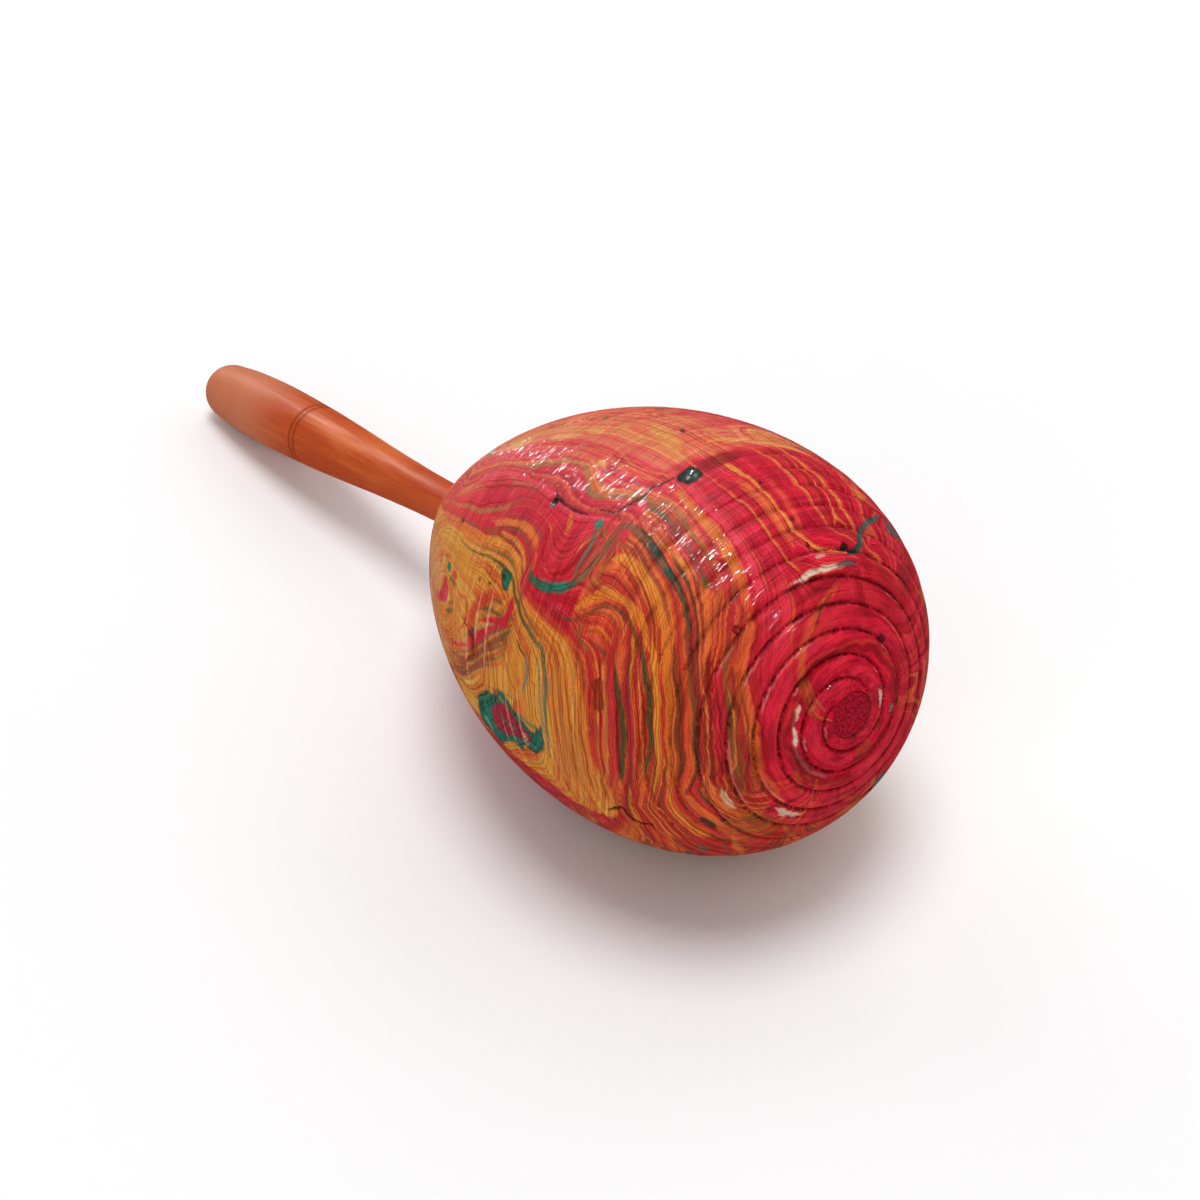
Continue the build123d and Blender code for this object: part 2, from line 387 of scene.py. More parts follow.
def paint_head(s, f):
    """Colours (as they look under plain light, sRGB 0-1) and the layer number, over the head."""
    cv = Canvas(s, f)
    field = layer_field()
    t = read_lattice(field, cv.x, cv.y / FS)
    t = t + 0.35 * noise_sf(s, f, 7.0, 40, 31, 2)
    cv.flow = t
    rate = per_cell(t)

    crimson = plies(1, [("#b02432", 7, 1.6), ("#a31c2a", 5, 1.3), ("#bd2a3b", 4, 1.2), ("#8f1a22", 2, 0.7), ("#b8402e", 2.0, 0.7),
                        ("#c4622e", 0.9, 0.6), ("#84402e", 0.8, 0.45)])
    pinkred = plies(2, [("#bb2038", 7, 1.0), ("#a81c30", 5, 0.8), ("#cc3446", 4, 0.8), ("#c4503a", 2.6, 0.6), ("#cf7638", 2.2, 0.5), ("#8c2a2a", 2.0, 0.4)], mean=0.55)
    arcs = plies(3, [("#a8302c", 4, 0.8), ("#b8532f", 4.4, 0.7), ("#8a3a2a", 2.4, 0.5), ("#c0602e", 3.0, 0.6), ("#a42430", 4.0, 0.7),
                     ("#5e4a2e", 1.2, 0.4), ("#cc7f33", 1.3, 0.5)], mean=0.65)
    yellow = plies(4, [("#d88a38", 6, 1.0), ("#cc7832", 4, 0.8), ("#eeb04c", 3.8, 0.9), ("#bc5a2c", 3.0, 0.5), ("#ac452c", 2.0, 0.32), ("#7c5230", 1.4, 0.28)], mean=0.75)
    ember = plies(7, [("#a83028", 5, 1.1), ("#b8502c", 3.4, 0.9), ("#94302a", 3, 0.9), ("#c46c30", 2.0, 0.7), ("#a3232e", 3, 1.1), ("#6a4a2c", 1.2, 0.4)], mean=1.0)
    mixed = plies(5, [("#c47233", 4, 0.7), ("#b04a2e", 3, 0.6), ("#a82c34", 3, 0.8), ("#77602f", 2.0, 0.4), ("#cb8438", 2.4, 0.7), ("#5a5a34", 1.0, 0.35), ("#98502e", 2, 0.5)])
    salmon = plies(6, [("#cc4f45", 4, 1.2), ("#d36a48", 4, 1.1), ("#c23844", 3.4, 1.0), ("#dd8a4e", 3, 0.8), ("#e0a05c", 1.6, 0.6), ("#b23a3a", 2.0, 0.6)], mean=0.6)

    def region(look):
        return lambda idx: look(t[idx], rate[idx])

    ring_t = s * 1.3 + 2.5 * noise_sf(s, f, 7.0, 12, 33, 3) + f / 90
    near_nose = (1 - smoothstep(10, 24, s + 3 * noise_sf(s, f, 9.0, 10, 34, 2)))[..., None]
    nose = plies(8, [("#b01c30", 7, 1.4), ("#a5182a", 5, 1.1), ("#bc2438", 4, 1.0), ("#8c1620", 2.4, 0.6), ("#a8302c", 1.6, 0.6), ("#981c2a", 3, 0.8)])

    cv.c = crimson(t, rate)
    # unseen back and belly: the same marbling, run on
    ws = s + 7 * noise_sf(s, f, 19.0, 9, 63, 3) + 4 * noise_sf(s, f, 8.0, 22, 65, 2)
    wf = f + 13 * noise_sf(s, f, 17.0, 8, 64, 3) + 6 * noise_sf(s, f, 8.0, 22, 66, 2)
    where = 0.7 * np.sin((t - 12) / 9.0) + 0.9 * noise_sf(ws, wf, 30.0, 4, 61, 3)
    a = (smoothstep(-0.25, 0.05, where) * smoothstep(22, 36, ws))[..., None]
    cv.c = cv.c * (1 - a) + ember(t, rate) * a
    a = (smoothstep(0.25, 0.45, where) * smoothstep(28, 44, ws))[..., None]
    cv.c = cv.c * (1 - a) + mixed(t, rate) * a
    a = (smoothstep(0.62, 0.78, where) * smoothstep(34, 50, ws))[..., None]
    cv.c = cv.c * (1 - a) + yellow(t, rate) * a
    a = (0.9 * smoothstep(0.70, 0.84, np.sin(t * 1.15 + 0.8)) * smoothstep(0.22, 0.42, noise_sf(ws, wf, 16.0, 12, 67, 2)) * smoothstep(40, 60, ws))[..., None]
    cv.c = cv.c * (1 - a) + rgb("#2a6252") * a

    # ---- the large areas that the photo shows
    B, L = cv.blob, cv.line
    B([(-2, -185), (22, -185), (24, -130), (20, -100), (20, -70), (24, -50), (30, -30), (34, -15), (34, 60), (30, 100), (26, 180), (-2, 180)],
      region(crimson), soft=1.2)
    B([(19.5, -126), (20, -70), (24, -50), (29, -32), (38, -33), (50, -31), (60, -31), (60, -62), (54, -80), (53, -110), (44, -128), (30, -135)],
      region(arcs), soft=0.8)
    B([(30, -135), (44, -128), (54, -122), (66, -122), (84, -114), (100, -108), (96, -128), (70, -150), (44, -172), (30, -176), (28, -150)], region(ember), soft=1.6)
    B([(52.5, -80), (53, -95), (51, -106), (54, -118), (64, -117), (72, -111), (84, -109), (92, -104), (100, -106), (106, -97), (113, -100), (118, -89), (125, -86), (129, -76), (136, -78), (139, -66), (150, -62),
       (150, -50), (104, -50.5), (80, -51), (76, -58), (66, -62), (58, -66)], region(yellow), soft=0.9)
    for k in range(13):
        s0, f0 = 30 + 3.4 * k, -152 + 2.6 * k + 5 * ((k * 7) % 4 - 1.5)
        L([(s0 - 3, f0 + 9), (s0, f0), (s0 + 4, f0 - 9), (s0 + 8, f0 - 15)], [0.3, 0.5 + 0.25 * (k % 3), 0.3],
          ["#bf642e", "#a0422a", "#c27430", "#7c4a2c", "#a8242e"][k % 5], op=0.75, soft=0.35, seed=20 + k)
    strata = plies(9, [("#b8602e", 4, 1.0), ("#77602f", 2.6, 0.6), ("#c8803a", 4, 1.0), ("#a8303a", 2.8, 0.8), ("#4c5a34", 2.8, 0.6), ("#8c3c2a", 3, 0.8), ("#cf8c3a", 2.4, 0.8)], mean=0.5)
    t2 = 0.62 * cv.x + 0.80 * cv.y + 1.5 * np.sin(cv.x / 6.5) + 0.5 * noise_sf(s, f, 6.0, 50, 35, 2)
    rate2 = per_cell(t2)
    B([(76, -61), (80, -61), (88, -66), (93, -74), (96, -82), (104, -88), (107, -95), (100, -97), (92, -90), (86, -84), (80, -79), (76, -74), (75.4, -68)],
      lambda idx: strata(t2[idx], rate2[idx]), soft=0.7, op=0.5)
    B([(75, -92), (88, -90), (94, -85), (86, -82), (80, -78), (75.6, -73), (75, -82)], "#d98a3a", soft=0.8, op=0.45)
    B([(92, -64), (93.4, -76), (97, -81), (106, -84), (116, -84), (104, -78), (100, -73), (100, -67), (108, -61), (122, -58), (120, -55.4), (92, -56)], "#dc9036", soft=1.0, op=0.5)
    # painted reflection: a pale patch on the far side toward the neck stands in for the varnish mirroring the pale room
    B([(104, -90), (112, -96), (128, -84), (142, -62), (128, -62), (114, -66), (111, -72), (116, -80)], "#d89470", soft=2.0, op=0.5)
    B([(58, -31), (60, -50), (66, -54), (75, -53), (80, -47), (92, -47), (140, -49.5), (140, -30), (120, -20), (100, -16), (84, -17), (62, -20)],
      region(pinkred), soft=0.8)
    B([(31, -30), (40, -20), (60, -20), (84, -18), (100, -16), (120, -19), (114, -6), (100, 6), (80, 22), (68, 34), (54, 46), (42, 58), (30, 52), (30, 10)],
      region(pinkred), soft=1.2)
    B([(64, -12), (84, -12), (100, -15), (122, -22), (112, -2), (96, 12), (78, 24), (64, 34), (60, 20), (62, 0)], region(salmon), soft=1.5)

    cv.c = cv.c * (1 - near_nose) + nose(ring_t, per_cell(ring_t)) * near_nose

    # ---- nose side
    L([(3.5, -95), (5, -80), (9, -68), (10.5, -58), (13.5, -45), (15.5, -37), (18, -25), (20, -15), (22, -5), (24, 5), (25, 12)],
      [0.5, 1.1, 1.0, 0.8, 0.5], "#b5502e", soft=0.5, op=0.85)
    L([(7, -62), (9, -54), (11, -47), (13.4, -38)], [0.3, 0.8, 0.4], "#a8662e", soft=0.4, op=0.6)
    L([(6, -84), (9.6, -66), (11.5, -56), (14.2, -44)], 0.4, "#7c2a20", op=0.55)
    L([(18.6, -20), (19.5, -12), (21.5, -5), (22.5, 0), (24, 6)], [0.15, 0.32, 0.2], "#4a201c", op=0.6)
    L([(13, -155), (13, -120), (13, -90), (13, -60)], 0.35, "#97655a", op=0.6)
    L([(3.5, -150), (3.6, -140)], 0.7, "#3c1a1c", op=0.8)
    L([(14, -143), (16, -150), (19, -153), (22, -160)], 0.6, "#b8492c", op=0.75)
    L([(15, -120), (16, -133), (18, -143)], 0.6, "#b04a2c", op=0.7)
    L([(19.5, -115), (20.5, -128), (22, -137), (24, -146)], 0.6, "#b5502e", op=0.7)
    B([(25, -139), (29, -142), (34, -136), (34, -127), (29, -125), (26, -128)], "#a8562e", soft=1.2, op=0.75)
    L([(26, -138), (28, -131), (31, -127)], 0.4, "#6c5a2e", op=0.7)
    L([(43, -142), (43.2, -138)], 0.8, "#3a6a5c", op=0.7)
    L([(15.5, 40), (15.7, 44), (15.4, 48)], 0.7, "#4a1a20", op=0.75)
    L([(8, 115), (8.2, 128), (8, 140)], 0.6, "#7c3a28", op=0.7)
    B([(29, 50), (33, 50), (33, 58), (29.5, 58)], "#7c1f2c", soft=1.0, op=0.7)
    B([(25, 92), (29, 94), (29.5, 116), (26, 118)], "#c4644a", soft=1.2, op=0.75)
    B([(24.5, 149), (29, 148), (31, 152), (28, 156), (25, 155)], "#3c7468", soft=0.6, op=0.9)
    L([(28, 157), (31, 160)], 0.8, "#43261f", op=0.85)
    L([(23, 156), (26, 162), (28, 172), (27, 178)], [1.0, 1.8, 1.2], "#b8602e", soft=0.8, op=0.8)
    L([(25, 168), (25.4, 174)], 0.6, "#5c3322", op=0.8)
    L([(9, 150), (9.4, 162), (9, 176)], 0.9, "#9c4a2a", soft=0.6, op=0.65)
    L([(31, 66), (36, 74)], 0.8, "#b5502e", op=0.6)

    # ---- left arcs
    L([(22.5, -118), (20.9, -105), (20.6, -95), (20.9, -82), (22.3, -70), (24.3, -62), (26.2, -52), (27.6, -42), (28.6, -35), (30, -31)],
      [0.6, 1.1, 1.1, 0.9, 0.5], ["#b0492c", "#bc5c2f", "#b5522c", "#bd5b2e"], op=0.9)
    L([(26, -118), (24.6, -105), (23.9, -92), (24, -80), (25.2, -68), (27.2, -60), (28.2, -50), (29.8, -42)],
      [0.5, 1.1, 1.0, 0.8, 0.5], ["#7c442c", "#7e3a28", "#86402a", "#9c3a28"], op=0.85)
    L([(24.5, -105), (24.7, -92), (25, -80), (26, -68), (28, -60), (29, -50), (31, -42)], 0.35, "#6c5c2e", op=0.8)
    L([(28.3, -106), (26.8, -95), (26.6, -84), (27.4, -70), (28.8, -61), (30, -52)], [0.5, 1.3, 1.3, 0.6], "#ab2433", op=0.85)
    L([(29.2, -106), (29, -95), (28.9, -85), (29.6, -70), (31, -60), (32.4, -50)], [0.6, 0.9, 0.8, 0.4], "#741c22", op=0.8)
    L([(32.4, -107), (30.4, -95), (30.2, -84), (30.8, -70), (32.8, -60)], 0.5, "#b5372f", op=0.8)
    L([(35.5, -107), (33, -102), (31.3, -95), (31.1, -85), (31.7, -70), (33.7, -60), (36.2, -52), (38.2, -47)],
      [0.4, 0.6, 0.7, 0.8], ["#77372a", "#6a332a", "#7a3a2c"], op=0.85)
    L([(34.4, -104), (32.9, -95), (32.8, -84), (33.4, -70), (35.3, -60)], 0.5, "#c24c2d", op=0.8)
    L([(36.4, -104), (34.3, -94), (34.2, -84), (34.9, -71), (37, -60), (38.8, -53)], [0.4, 0.8, 0.7, 0.5], "#7c3a29", op=0.85)
    L([(38, -106), (36.2, -95), (36, -84), (36.6, -71), (38.7, -60), (41, -52), (43.5, -46), (47, -41)],
      [0.4, 0.8, 0.9, 0.9, 0.6], ["#b85b2c", "#c0602a", "#c8722e", "#cc7a30"], op=0.9)
    L([(37.6, -92), (37.2, -84), (37.8, -72), (39.6, -62)], [0.2, 0.7, 0.2], "#b4302c", op=0.9)
    L([(41.5, -106), (38.8, -95), (38.3, -84), (38.9, -72), (40.8, -62), (42.6, -55)], [0.4, 0.8, 0.8, 0.5], "#cf8434", op=0.9)
    L([(42.2, -101), (40, -88), (39.8, -80), (40.5, -72), (42, -66), (43, -62), (44.3, -57)], [0.3, 0.55, 0.5, 0.3], "#4a4a2c", op=0.95, soft=0.18)
    L([(45, -107), (42.6, -95), (41.6, -86), (41.8, -78), (42.8, -70), (44.4, -64)], [0.5, 0.9, 0.8, 0.5], "#a33024", op=0.85)
    L([(44, -106), (42.9, -100), (42.2, -94)], 0.5, "#c0602e", op=0.8)
    L([(46.4, -107), (44.4, -96), (43.4, -87), (43.5, -79), (44.6, -71), (46.4, -64)], [0.4, 0.55, 0.5, 0.3], "#b2263c", op=0.85)
    L([(47.6, -102), (46, -93), (45.2, -86), (45.6, -80), (46.6, -73), (48, -66)], [0.5, 0.75, 0.7, 0.35], "#4c4a2b", op=0.95, soft=0.18)
    L([(50, -104), (47.6, -94), (46.8, -86), (47.2, -79), (48.2, -71), (49.6, -63), (51.6, -57)], [0.6, 1.1, 1.0, 0.5], "#a82c33", op=0.85)
    L([(51.4, -106), (49.5, -96), (48.8, -86), (49.1, -77), (50, -69), (51.6, -62)], 0.35, "#a8663e", op=0.85)
    B([(49.2, -77), (50.4, -79.5), (51.8, -78), (51.5, -75.4), (52.1, -72.8), (50.8, -70.8), (49.8, -72.4), (50.1, -75)], "#8a3420", soft=0.4, op=0.8, edge="#5a2418", edge_op=0.6)
    L([(53.3, -110), (51.5, -100), (50.6, -90), (50.7, -83)], [0.4, 0.35], "#a0522e", op=0.8)
    for k, ds in enumerate((0, 1.5, 2.7, 4.1, 5.6, 7.2)):
        L([(54 + ds, -112), (52 + ds, -102), (51.4 + ds, -92), (51.6 + ds, -82), (52.8 + ds * 1.1, -72), (56 + ds, -66)],
          0.16 + 0.05 * (k % 3), ["#a84a2b", "#9c3f28"], op=0.55, seed=k, soft=0.15)

    for k in range(12):
        q = 21.5 + 2.5 * k
        L([(q + 2.6, -108 + 3 * (k % 3)), (q + 0.5, -96), (q + 0.1, -84), (q + 0.7, -72), (q + 2.9, -61)], [0.08, 0.2, 0.14, 0.2, 0.1],
          ["#3e2a1c", "#d08a3c", "#5a2a1c", "#e09a4c", "#47452a"][k % 5], op=0.75, seed=120 + k, soft=0.14)

    # nested loops below the arcs
    L([(44, -60), (46, -56), (49, -52.3), (52, -51), (55, -52), (57, -55), (59, -58), (62, -59), (66, -58.4)], [0.4, 0.5, 0.4, 0.3], "#6e3f28", op=0.85)
    L([(42.6, -58), (45, -53.5), (48, -49.5), (52, -48), (56, -49.4), (58.4, -53), (60.5, -56)], [0.6, 0.9, 0.9, 0.5], "#c47a30", op=0.85)
    L([(42, -55), (44.6, -50), (48, -46), (52, -44.6), (56, -46), (59, -50)], 0.4, "#a03c28", op=0.85)
    L([(41.4, -52), (44, -46.5), (47.4, -42.2), (51, -39.6), (55, -38.6), (58, -40)], [0.7, 1.2, 1.2, 0.8], ["#cc7430", "#d28434", "#cf8034"], op=0.9)
    L([(41, -49), (44, -43.8), (47.8, -39.6), (52, -36.8), (56, -35.6), (60, -36)], 0.35, "#8c4a2a", op=0.85)
    L([(50.5, -64.5), (52, -63), (53.5, -62)], 0.45, "#3f472d", op=0.9)
    B([(49.5, -66), (57, -66), (60, -60), (57, -55), (51, -54.5), (48, -58)], "#a8332b", soft=0.7, op=0.55)
    L([(54.5, -64.4), (56.6, -63.4), (58, -61), (58, -58.6)], 0.28, "#6c6238", op=0.85)
    L([(50, -60.5), (53, -58), (56, -58.6)], 0.35, "#c47632", op=0.7)

    # the dark band that the arcs run into
    L([(36.6, -50), (38.6, -44.6), (41.6, -39.4), (45.5, -36.4), (49.5, -33.9), (53, -31.9), (57, -30.6), (60, -31), (61.4, -33)],
      [0.4, 0.8, 0.95, 0.9, 0.8, 0.4], ["#7a3c2a", "#6e4832", "#5e4632", "#6a4a34", "#7a5038"], op=0.85, soft=0.25)
    L([(37.4, -48), (39.6, -42.4), (42.6, -37.9), (46, -35), (50, -32.5), (54, -30.4), (58, -29.6)], 0.25, "#36442f", op=0.9, soft=0.15)
    L([(36, -50), (38, -45), (41, -40.6), (45, -37.8), (49, -35.2), (53, -33.2), (57, -32)], 0.22, "#4c3a28", op=0.85, soft=0.15)
    L([(44.4, -37.2), (46.2, -36.1), (48, -34.9)], [0.2, 0.6, 0.2], "#234b42", op=0.95)
    L([(49.6, -33.4), (51.4, -32.4), (53.6, -31.6)], [0.2, 0.65, 0.2], "#24483f", op=0.95)
    L([(38.6, -41.8), (41.4, -37.2), (45, -34.4), (49, -31.9), (53, -29.8), (57, -28.6)], 0.3, "#b0622f", op=0.6)

    # ---- the large orange-yellow field and the green-grey line round it
    B([(53, -100), (56, -109), (62, -108), (62.5, -95), (62, -80), (61, -70), (57, -69), (54, -78)], "#cd8638", soft=1.6, op=0.45)
    L([(57, -117), (62, -112), (68, -108), (75, -107)], [0.8, 1.2, 0.7], "#c47a34", op=0.7)
    L([(64.8, -100), (64, -92), (63.5, -80), (64, -75), (65, -71), (66, -69), (68, -68), (70.5, -66), (73, -64.5), (75, -62), (77, -60), (79, -57),
       (82, -55.4), (85, -54.7), (90, -54.6), (95, -55.4), (100, -55.8), (106, -54.8)],
      [0.4, 0.55, 0.55, 0.45, 0.4, 0.4, 0.35, 0.35], ["#4c6a58", "#62684a", "#6a6444", "#55502f", "#5c5630", "#6c5c30", "#7a6a34"], op=0.95, soft=0.18)
    L([(66, -66.6), (69, -65.2), (72, -63), (74.5, -60.6), (76.4, -58), (79, -54.8), (82, -53), (86, -52.4), (92, -52.6), (98, -53.4)],
      0.3, ["#8a5a30", "#5a5430", "#646033", "#7c6434"], op=0.85)

    for k, (s0, f0) in enumerate(((55.5, -108), (58.4, -104), (60.6, -101), (56.8, -96), (61.8, -106))):
        L([(s0, f0), (s0 - 0.9, f0 + 11), (s0 - 0.7, f0 + 22), (s0 + 0.4, f0 + 32)], [0.1, 0.2, 0.1], ["#7a4a26", "#8c3c26", "#5e5230"][k % 3], op=0.75, seed=140 + k)
    for k in range(6):
        L([(84 + 5 * k, -57.5 - 0.5 * k), (90 + 6 * k, -57 - 0.6 * k), (97 + 6.5 * k, -56.6 - 0.8 * k)], [0.1, 0.22, 0.1], ["#8c4a28", "#a8502c", "#6c5a30"][k % 3], op=0.7, seed=150 + k)

    # teal swirl
    B([(65.5, -91), (66, -97), (68, -99.5), (70, -101), (73.5, -100.5), (75, -103), (78, -102), (81, -104), (84, -107), (86, -108), (88, -106),
       (92, -106), (91, -100), (89, -95), (86, -92), (84, -90), (81, -89.5), (80, -87.5), (77, -87), (74.6, -90), (71, -93), (68.6, -94.4)],
      "#1f6a57", soft=0.3, edge="#1d4d44", edge_w=0.5, edge_op=0.6)
    B([(76.5, -99), (80, -101), (83.5, -101), (83.8, -97), (82, -93.4), (79.6, -91), (76.6, -90.2), (74, -92.6), (71.4, -94.6), (69.6, -97), (72.6, -98.6)],
      "#97293b", soft=0.35, edge="#6c2c3c", edge_op=0.5)
    L([(74, -96.4), (77.5, -96.2), (81, -95.6)], 0.35, "#3d6a58", op=0.9)
    L([(72.2, -100), (71.8, -98), (72.2, -96)], 0.7, "#b48a6c", op=0.9)
    L([(69, -99.6), (72, -98.8), (75, -100.5)], 0.4, "#6c8078", op=0.7)
    B([(86.8, -105), (88.6, -105.4), (89.4, -102), (88, -100.6), (86.8, -102)], "#5fae90", soft=0.45, op=0.9)
    L([(84.2, -104.6), (85, -101), (86.4, -97), (85.6, -93.4)], 0.5, "#56796a", op=0.75)
    L([(66.8, -92), (70, -91.6), (73, -90)], 0.4, "#447c6c", op=0.8)
    L([(76, -86.6), (73, -86), (71, -84), (69.5, -80), (69.2, -76), (70, -73)], [0.35, 0.45, 0.3], "#6c7468", op=0.9, soft=0.18)
    L([(66.6, -92), (66.4, -84), (67, -77), (68.2, -71.4)], [0.9, 1.5, 0.7], "#cf8c38", op=0.9)
    B([(70.8, -85), (73.4, -86.6), (76, -85.6), (76, -78), (74, -73.2), (71, -74.6), (70.2, -79)], "#cf8636", soft=0.5, op=0.85)
    L([(65.2, -92), (65, -84), (65.4, -77), (66.6, -71)], 0.25, "#477a66", op=0.7)
    B([(71, -82), (72, -82), (72.2, -80), (71.2, -79.8)], "#c4603c", soft=0.3, op=0.9)
    L([(70.5, -73.5), (72, -72), (73.5, -70)], 0.25, "#4b3a26", op=0.85)
    L([(73, -84), (75.4, -80), (77, -75)], 0.25, "#9c4c2c", op=0.6)
    L([(76, -92), (79, -88.5), (83, -88), (87, -90)], 0.35, "#b8662e", op=0.8)

    # strata right of the swirl
    for k, (dy, col, w) in enumerate(((0, "#5d5a30", 0.3), (1.7, "#84502c", 0.35), (3.2, "#5a5c34", 0.25), (-1.6, "#a3372c", 0.4),
                                      (4.8, "#a85a2c", 0.4), (6.2, "#6a6636", 0.25), (-3.2, "#5c5a34", 0.25), (8.0, "#b8662e", 0.5))):
        L([(75.6 + dy * 0.15, -69 - dy), (79, -71.4 - dy), (83, -74.4 - dy), (87.5, -78.6 - dy), (92, -84 - dy)], w, col, op=0.8, seed=k, soft=0.16)
    L([(84, -80), (88, -83), (92, -86.4), (98, -92), (102, -94)], [0.2, 0.4, 0.25], ["#4c4a34", "#3c6a54", "#4c6a58", "#7c6a50"], op=0.9, seed=201)
    L([(80, -72), (86, -76), (92, -80.5), (98, -84), (104, -86)], [0.3, 0.5, 0.45, 0.3], "#b5303c", op=0.85, seed=202)
    L([(76, -70), (82, -74.5), (88, -79.6), (91, -82)], [0.15, 0.3, 0.2], "#54583a", op=0.9, seed=203)
    L([(94, -90.2), (96, -91.2), (98.6, -92.2)], [0.3, 0.6, 0.3], "#3c8068", op=0.9, seed=204)
    L([(77, -67.5), (80, -70), (83, -72), (86, -74.4), (89, -76.6), (93, -80)], [0.4, 0.6, 0.6, 0.8, 0.7, 0.4], "#bb2438", op=0.9, seed=205)
    L([(88, -74.6), (90, -76), (92.2, -77.4)], [0.5, 0.9, 0.4], "#5a3230", op=0.85, seed=206)
    L([(80, -68.4), (84, -71), (88, -74)], [0.2, 0.4, 0.3], "#a88c5a", op=0.9, seed=207)
    L([(77.6, -60.6), (77.2, -63.4), (77.8, -66.2), (80, -68), (84, -69.8), (87, -71.6)], [0.5, 0.9, 0.9, 0.6, 0.4], "#bc2036", op=0.9, seed=208)
    L([(79.4, -66), (82, -66.6), (85.4, -67.2), (89, -69.4)], [0.2, 0.35, 0.3, 0.2], "#5a5034", op=0.9, seed=209)
    L([(80.2, -63.4), (82, -63.6), (84.6, -64.4)], 0.28, "#54503a", op=0.9, seed=210)
    B([(84.6, -65), (87, -67.4), (89, -71), (90.6, -76), (92.8, -76.6), (92.2, -71), (90, -66.4), (87, -63.2), (84, -61.6), (81, -62.4)], "#b83c2a", soft=0.6, op=0.75)
    L([(86.2, -61.2), (86.8, -60.6)], 0.5, "#7c2a1c", op=0.9)
    L([(87.4, -59), (87.9, -58.4)], 0.4, "#7c3420", op=0.85)
    L([(90.6, -62), (91.2, -61)], 0.45, "#7a3a20", op=0.85)
    L([(90, -86), (94, -89), (100, -92.6), (106, -94)], [0.3, 0.4, 0.25], "#8c6a50", op=0.8, seed=211)
    L([(91, -82), (96, -86.4), (102, -89.6), (107, -90)], [0.2, 0.45, 0.3], "#a85a44", op=0.75, seed=212)
    for k in range(13):
        L([(76.6 + 0.35 * k, -67.4 - 1.15 * k), (81 + 0.5 * k, -71.2 - 1.2 * k), (86 + 0.6 * k, -76.4 - 1.25 * k), (92 + 0.7 * k, -82.4 - 1.1 * k), (97 + 0.7 * k, -85 - k)],
          [0.1, 0.34, 0.26, 0.34, 0.1], ["#b8323a", "#4f6044", "#d8883c", "#a8482c", "#6c5434"][k % 5], op=0.8, seed=215 + k)
    B([(80.1, -59.8), (81.6, -59.8), (82.8, -58.2), (83.9, -55.6), (80.5, -55.5), (80.2, -57.4)], "#1f6a50", soft=0.25, op=0.95, edge="#1c3a2e", edge_op=0.5)
    L([(82, -57.6), (83.4, -56.4)], 0.5, "#28302c", op=0.9)

    # a thin red loop and the crimson eye
    L([(98, -80.4), (96, -78), (94.2, -75.4), (93.2, -72.4), (93.8, -69.8), (95.6, -68.4), (98, -69), (101, -68)], [0.2, 0.38, 0.38, 0.2], "#b8402c", op=0.9, seed=230)
    L([(100, -79), (98, -76.6), (97, -73), (98, -70.6), (101, -70)], 0.2, "#b8602c", op=0.7, seed=231)
    L([(103, -80), (100.4, -77), (99.4, -73.4), (100.6, -71)], 0.22, "#c07030", op=0.7, seed=232)
    L([(101.2, -75.2), (103.4, -76.4), (106, -77.3)], [0.2, 0.4, 0.2], "#6c5c34", op=0.9, seed=233)
    L([(101, -72.6), (103, -73.4), (105, -75)], [0.3, 0.5, 0.3], "#7c5434", op=0.7, seed=234)
    L([(101, -67.6), (103.4, -67), (106, -67.6)], 0.35, "#6a6034", op=0.9, seed=235)
    B([(105.2, -72), (106.4, -75), (109, -76.6), (113.4, -78), (112.6, -75.6), (110.4, -72.6), (109.6, -69.6), (108, -67.8), (106.4, -69.4)], "#b62c44", soft=0.5,
      edge="#8c3a34", edge_op=0.5)
    L([(106, -64.4), (107.6, -64.2), (109.4, -63.8)], [0.5, 0.9, 0.4], "#1f6f5a", op=0.95)
    L([(101.6, -65.2), (104.8, -64.8)], 0.6, "#c8442e", op=0.85)
    L([(110.2, -62.6), (112.2, -62.2)], 0.5, "#8c5a34", op=0.85)
    L([(115, -61), (117, -60.8)], 0.4, "#94603a", op=0.75)
    L([(114, -66), (116.4, -64.6), (118, -63.4)], [0.6, 1.3, 0.6], "#b84c44", op=0.6, soft=0.7)
    # pale scratches that run round the axis
    for s0, f0, f1 in ((76.3, -110, -76), (79.6, -108, -92), (84.2, -86, -60), (92.7, -95, -58), (96.6, -88, -50), (88.4, -80, -62), (72.4, -100, -84), (100.6, -84, -62)):
        L([(s0, f0), (s0 + 0.15, 0.6 * f0 + 0.4 * f1), (s0 - 0.1, f1)], [0.1, 0.3, 0.1], "#ecb88c", op=0.6, rough=0.7, seed=int(s0 * 10))
    L([(112, -78), (118, -78.6), (124, -76)], [0.8, 1.4, 0.8], "#b8504a", op=0.6, soft=0.8)
    L([(101, -74.5), (103, -76), (105, -76.8)], 0.4, "#6a6233", op=0.9)
    L([(102, -68), (104, -66.8), (106, -66.5)], 0.4, "#6a6233", op=0.9)
    L([(106.4, -65.4), (107.5, -64.6), (109, -64.4)], [0.5, 1.1, 0.5], "#1f6656", op=0.95)
    L([(102, -65.4), (104.4, -64.8)], 0.8, "#b8442c", op=0.85)
    L([(110.6, -62.2), (112.4, -62)], 0.5, "#7c4a2c", op=0.85)
    L([(93, -60), (100, -59.4), (108, -58.8), (116, -58.6), (126, -58)], [1.4, 2.2, 2.4, 2.0, 1.2], ["#c88034", "#cf8832", "#d89238", "#cf8c3c"], soft=0.9, op=0.75)

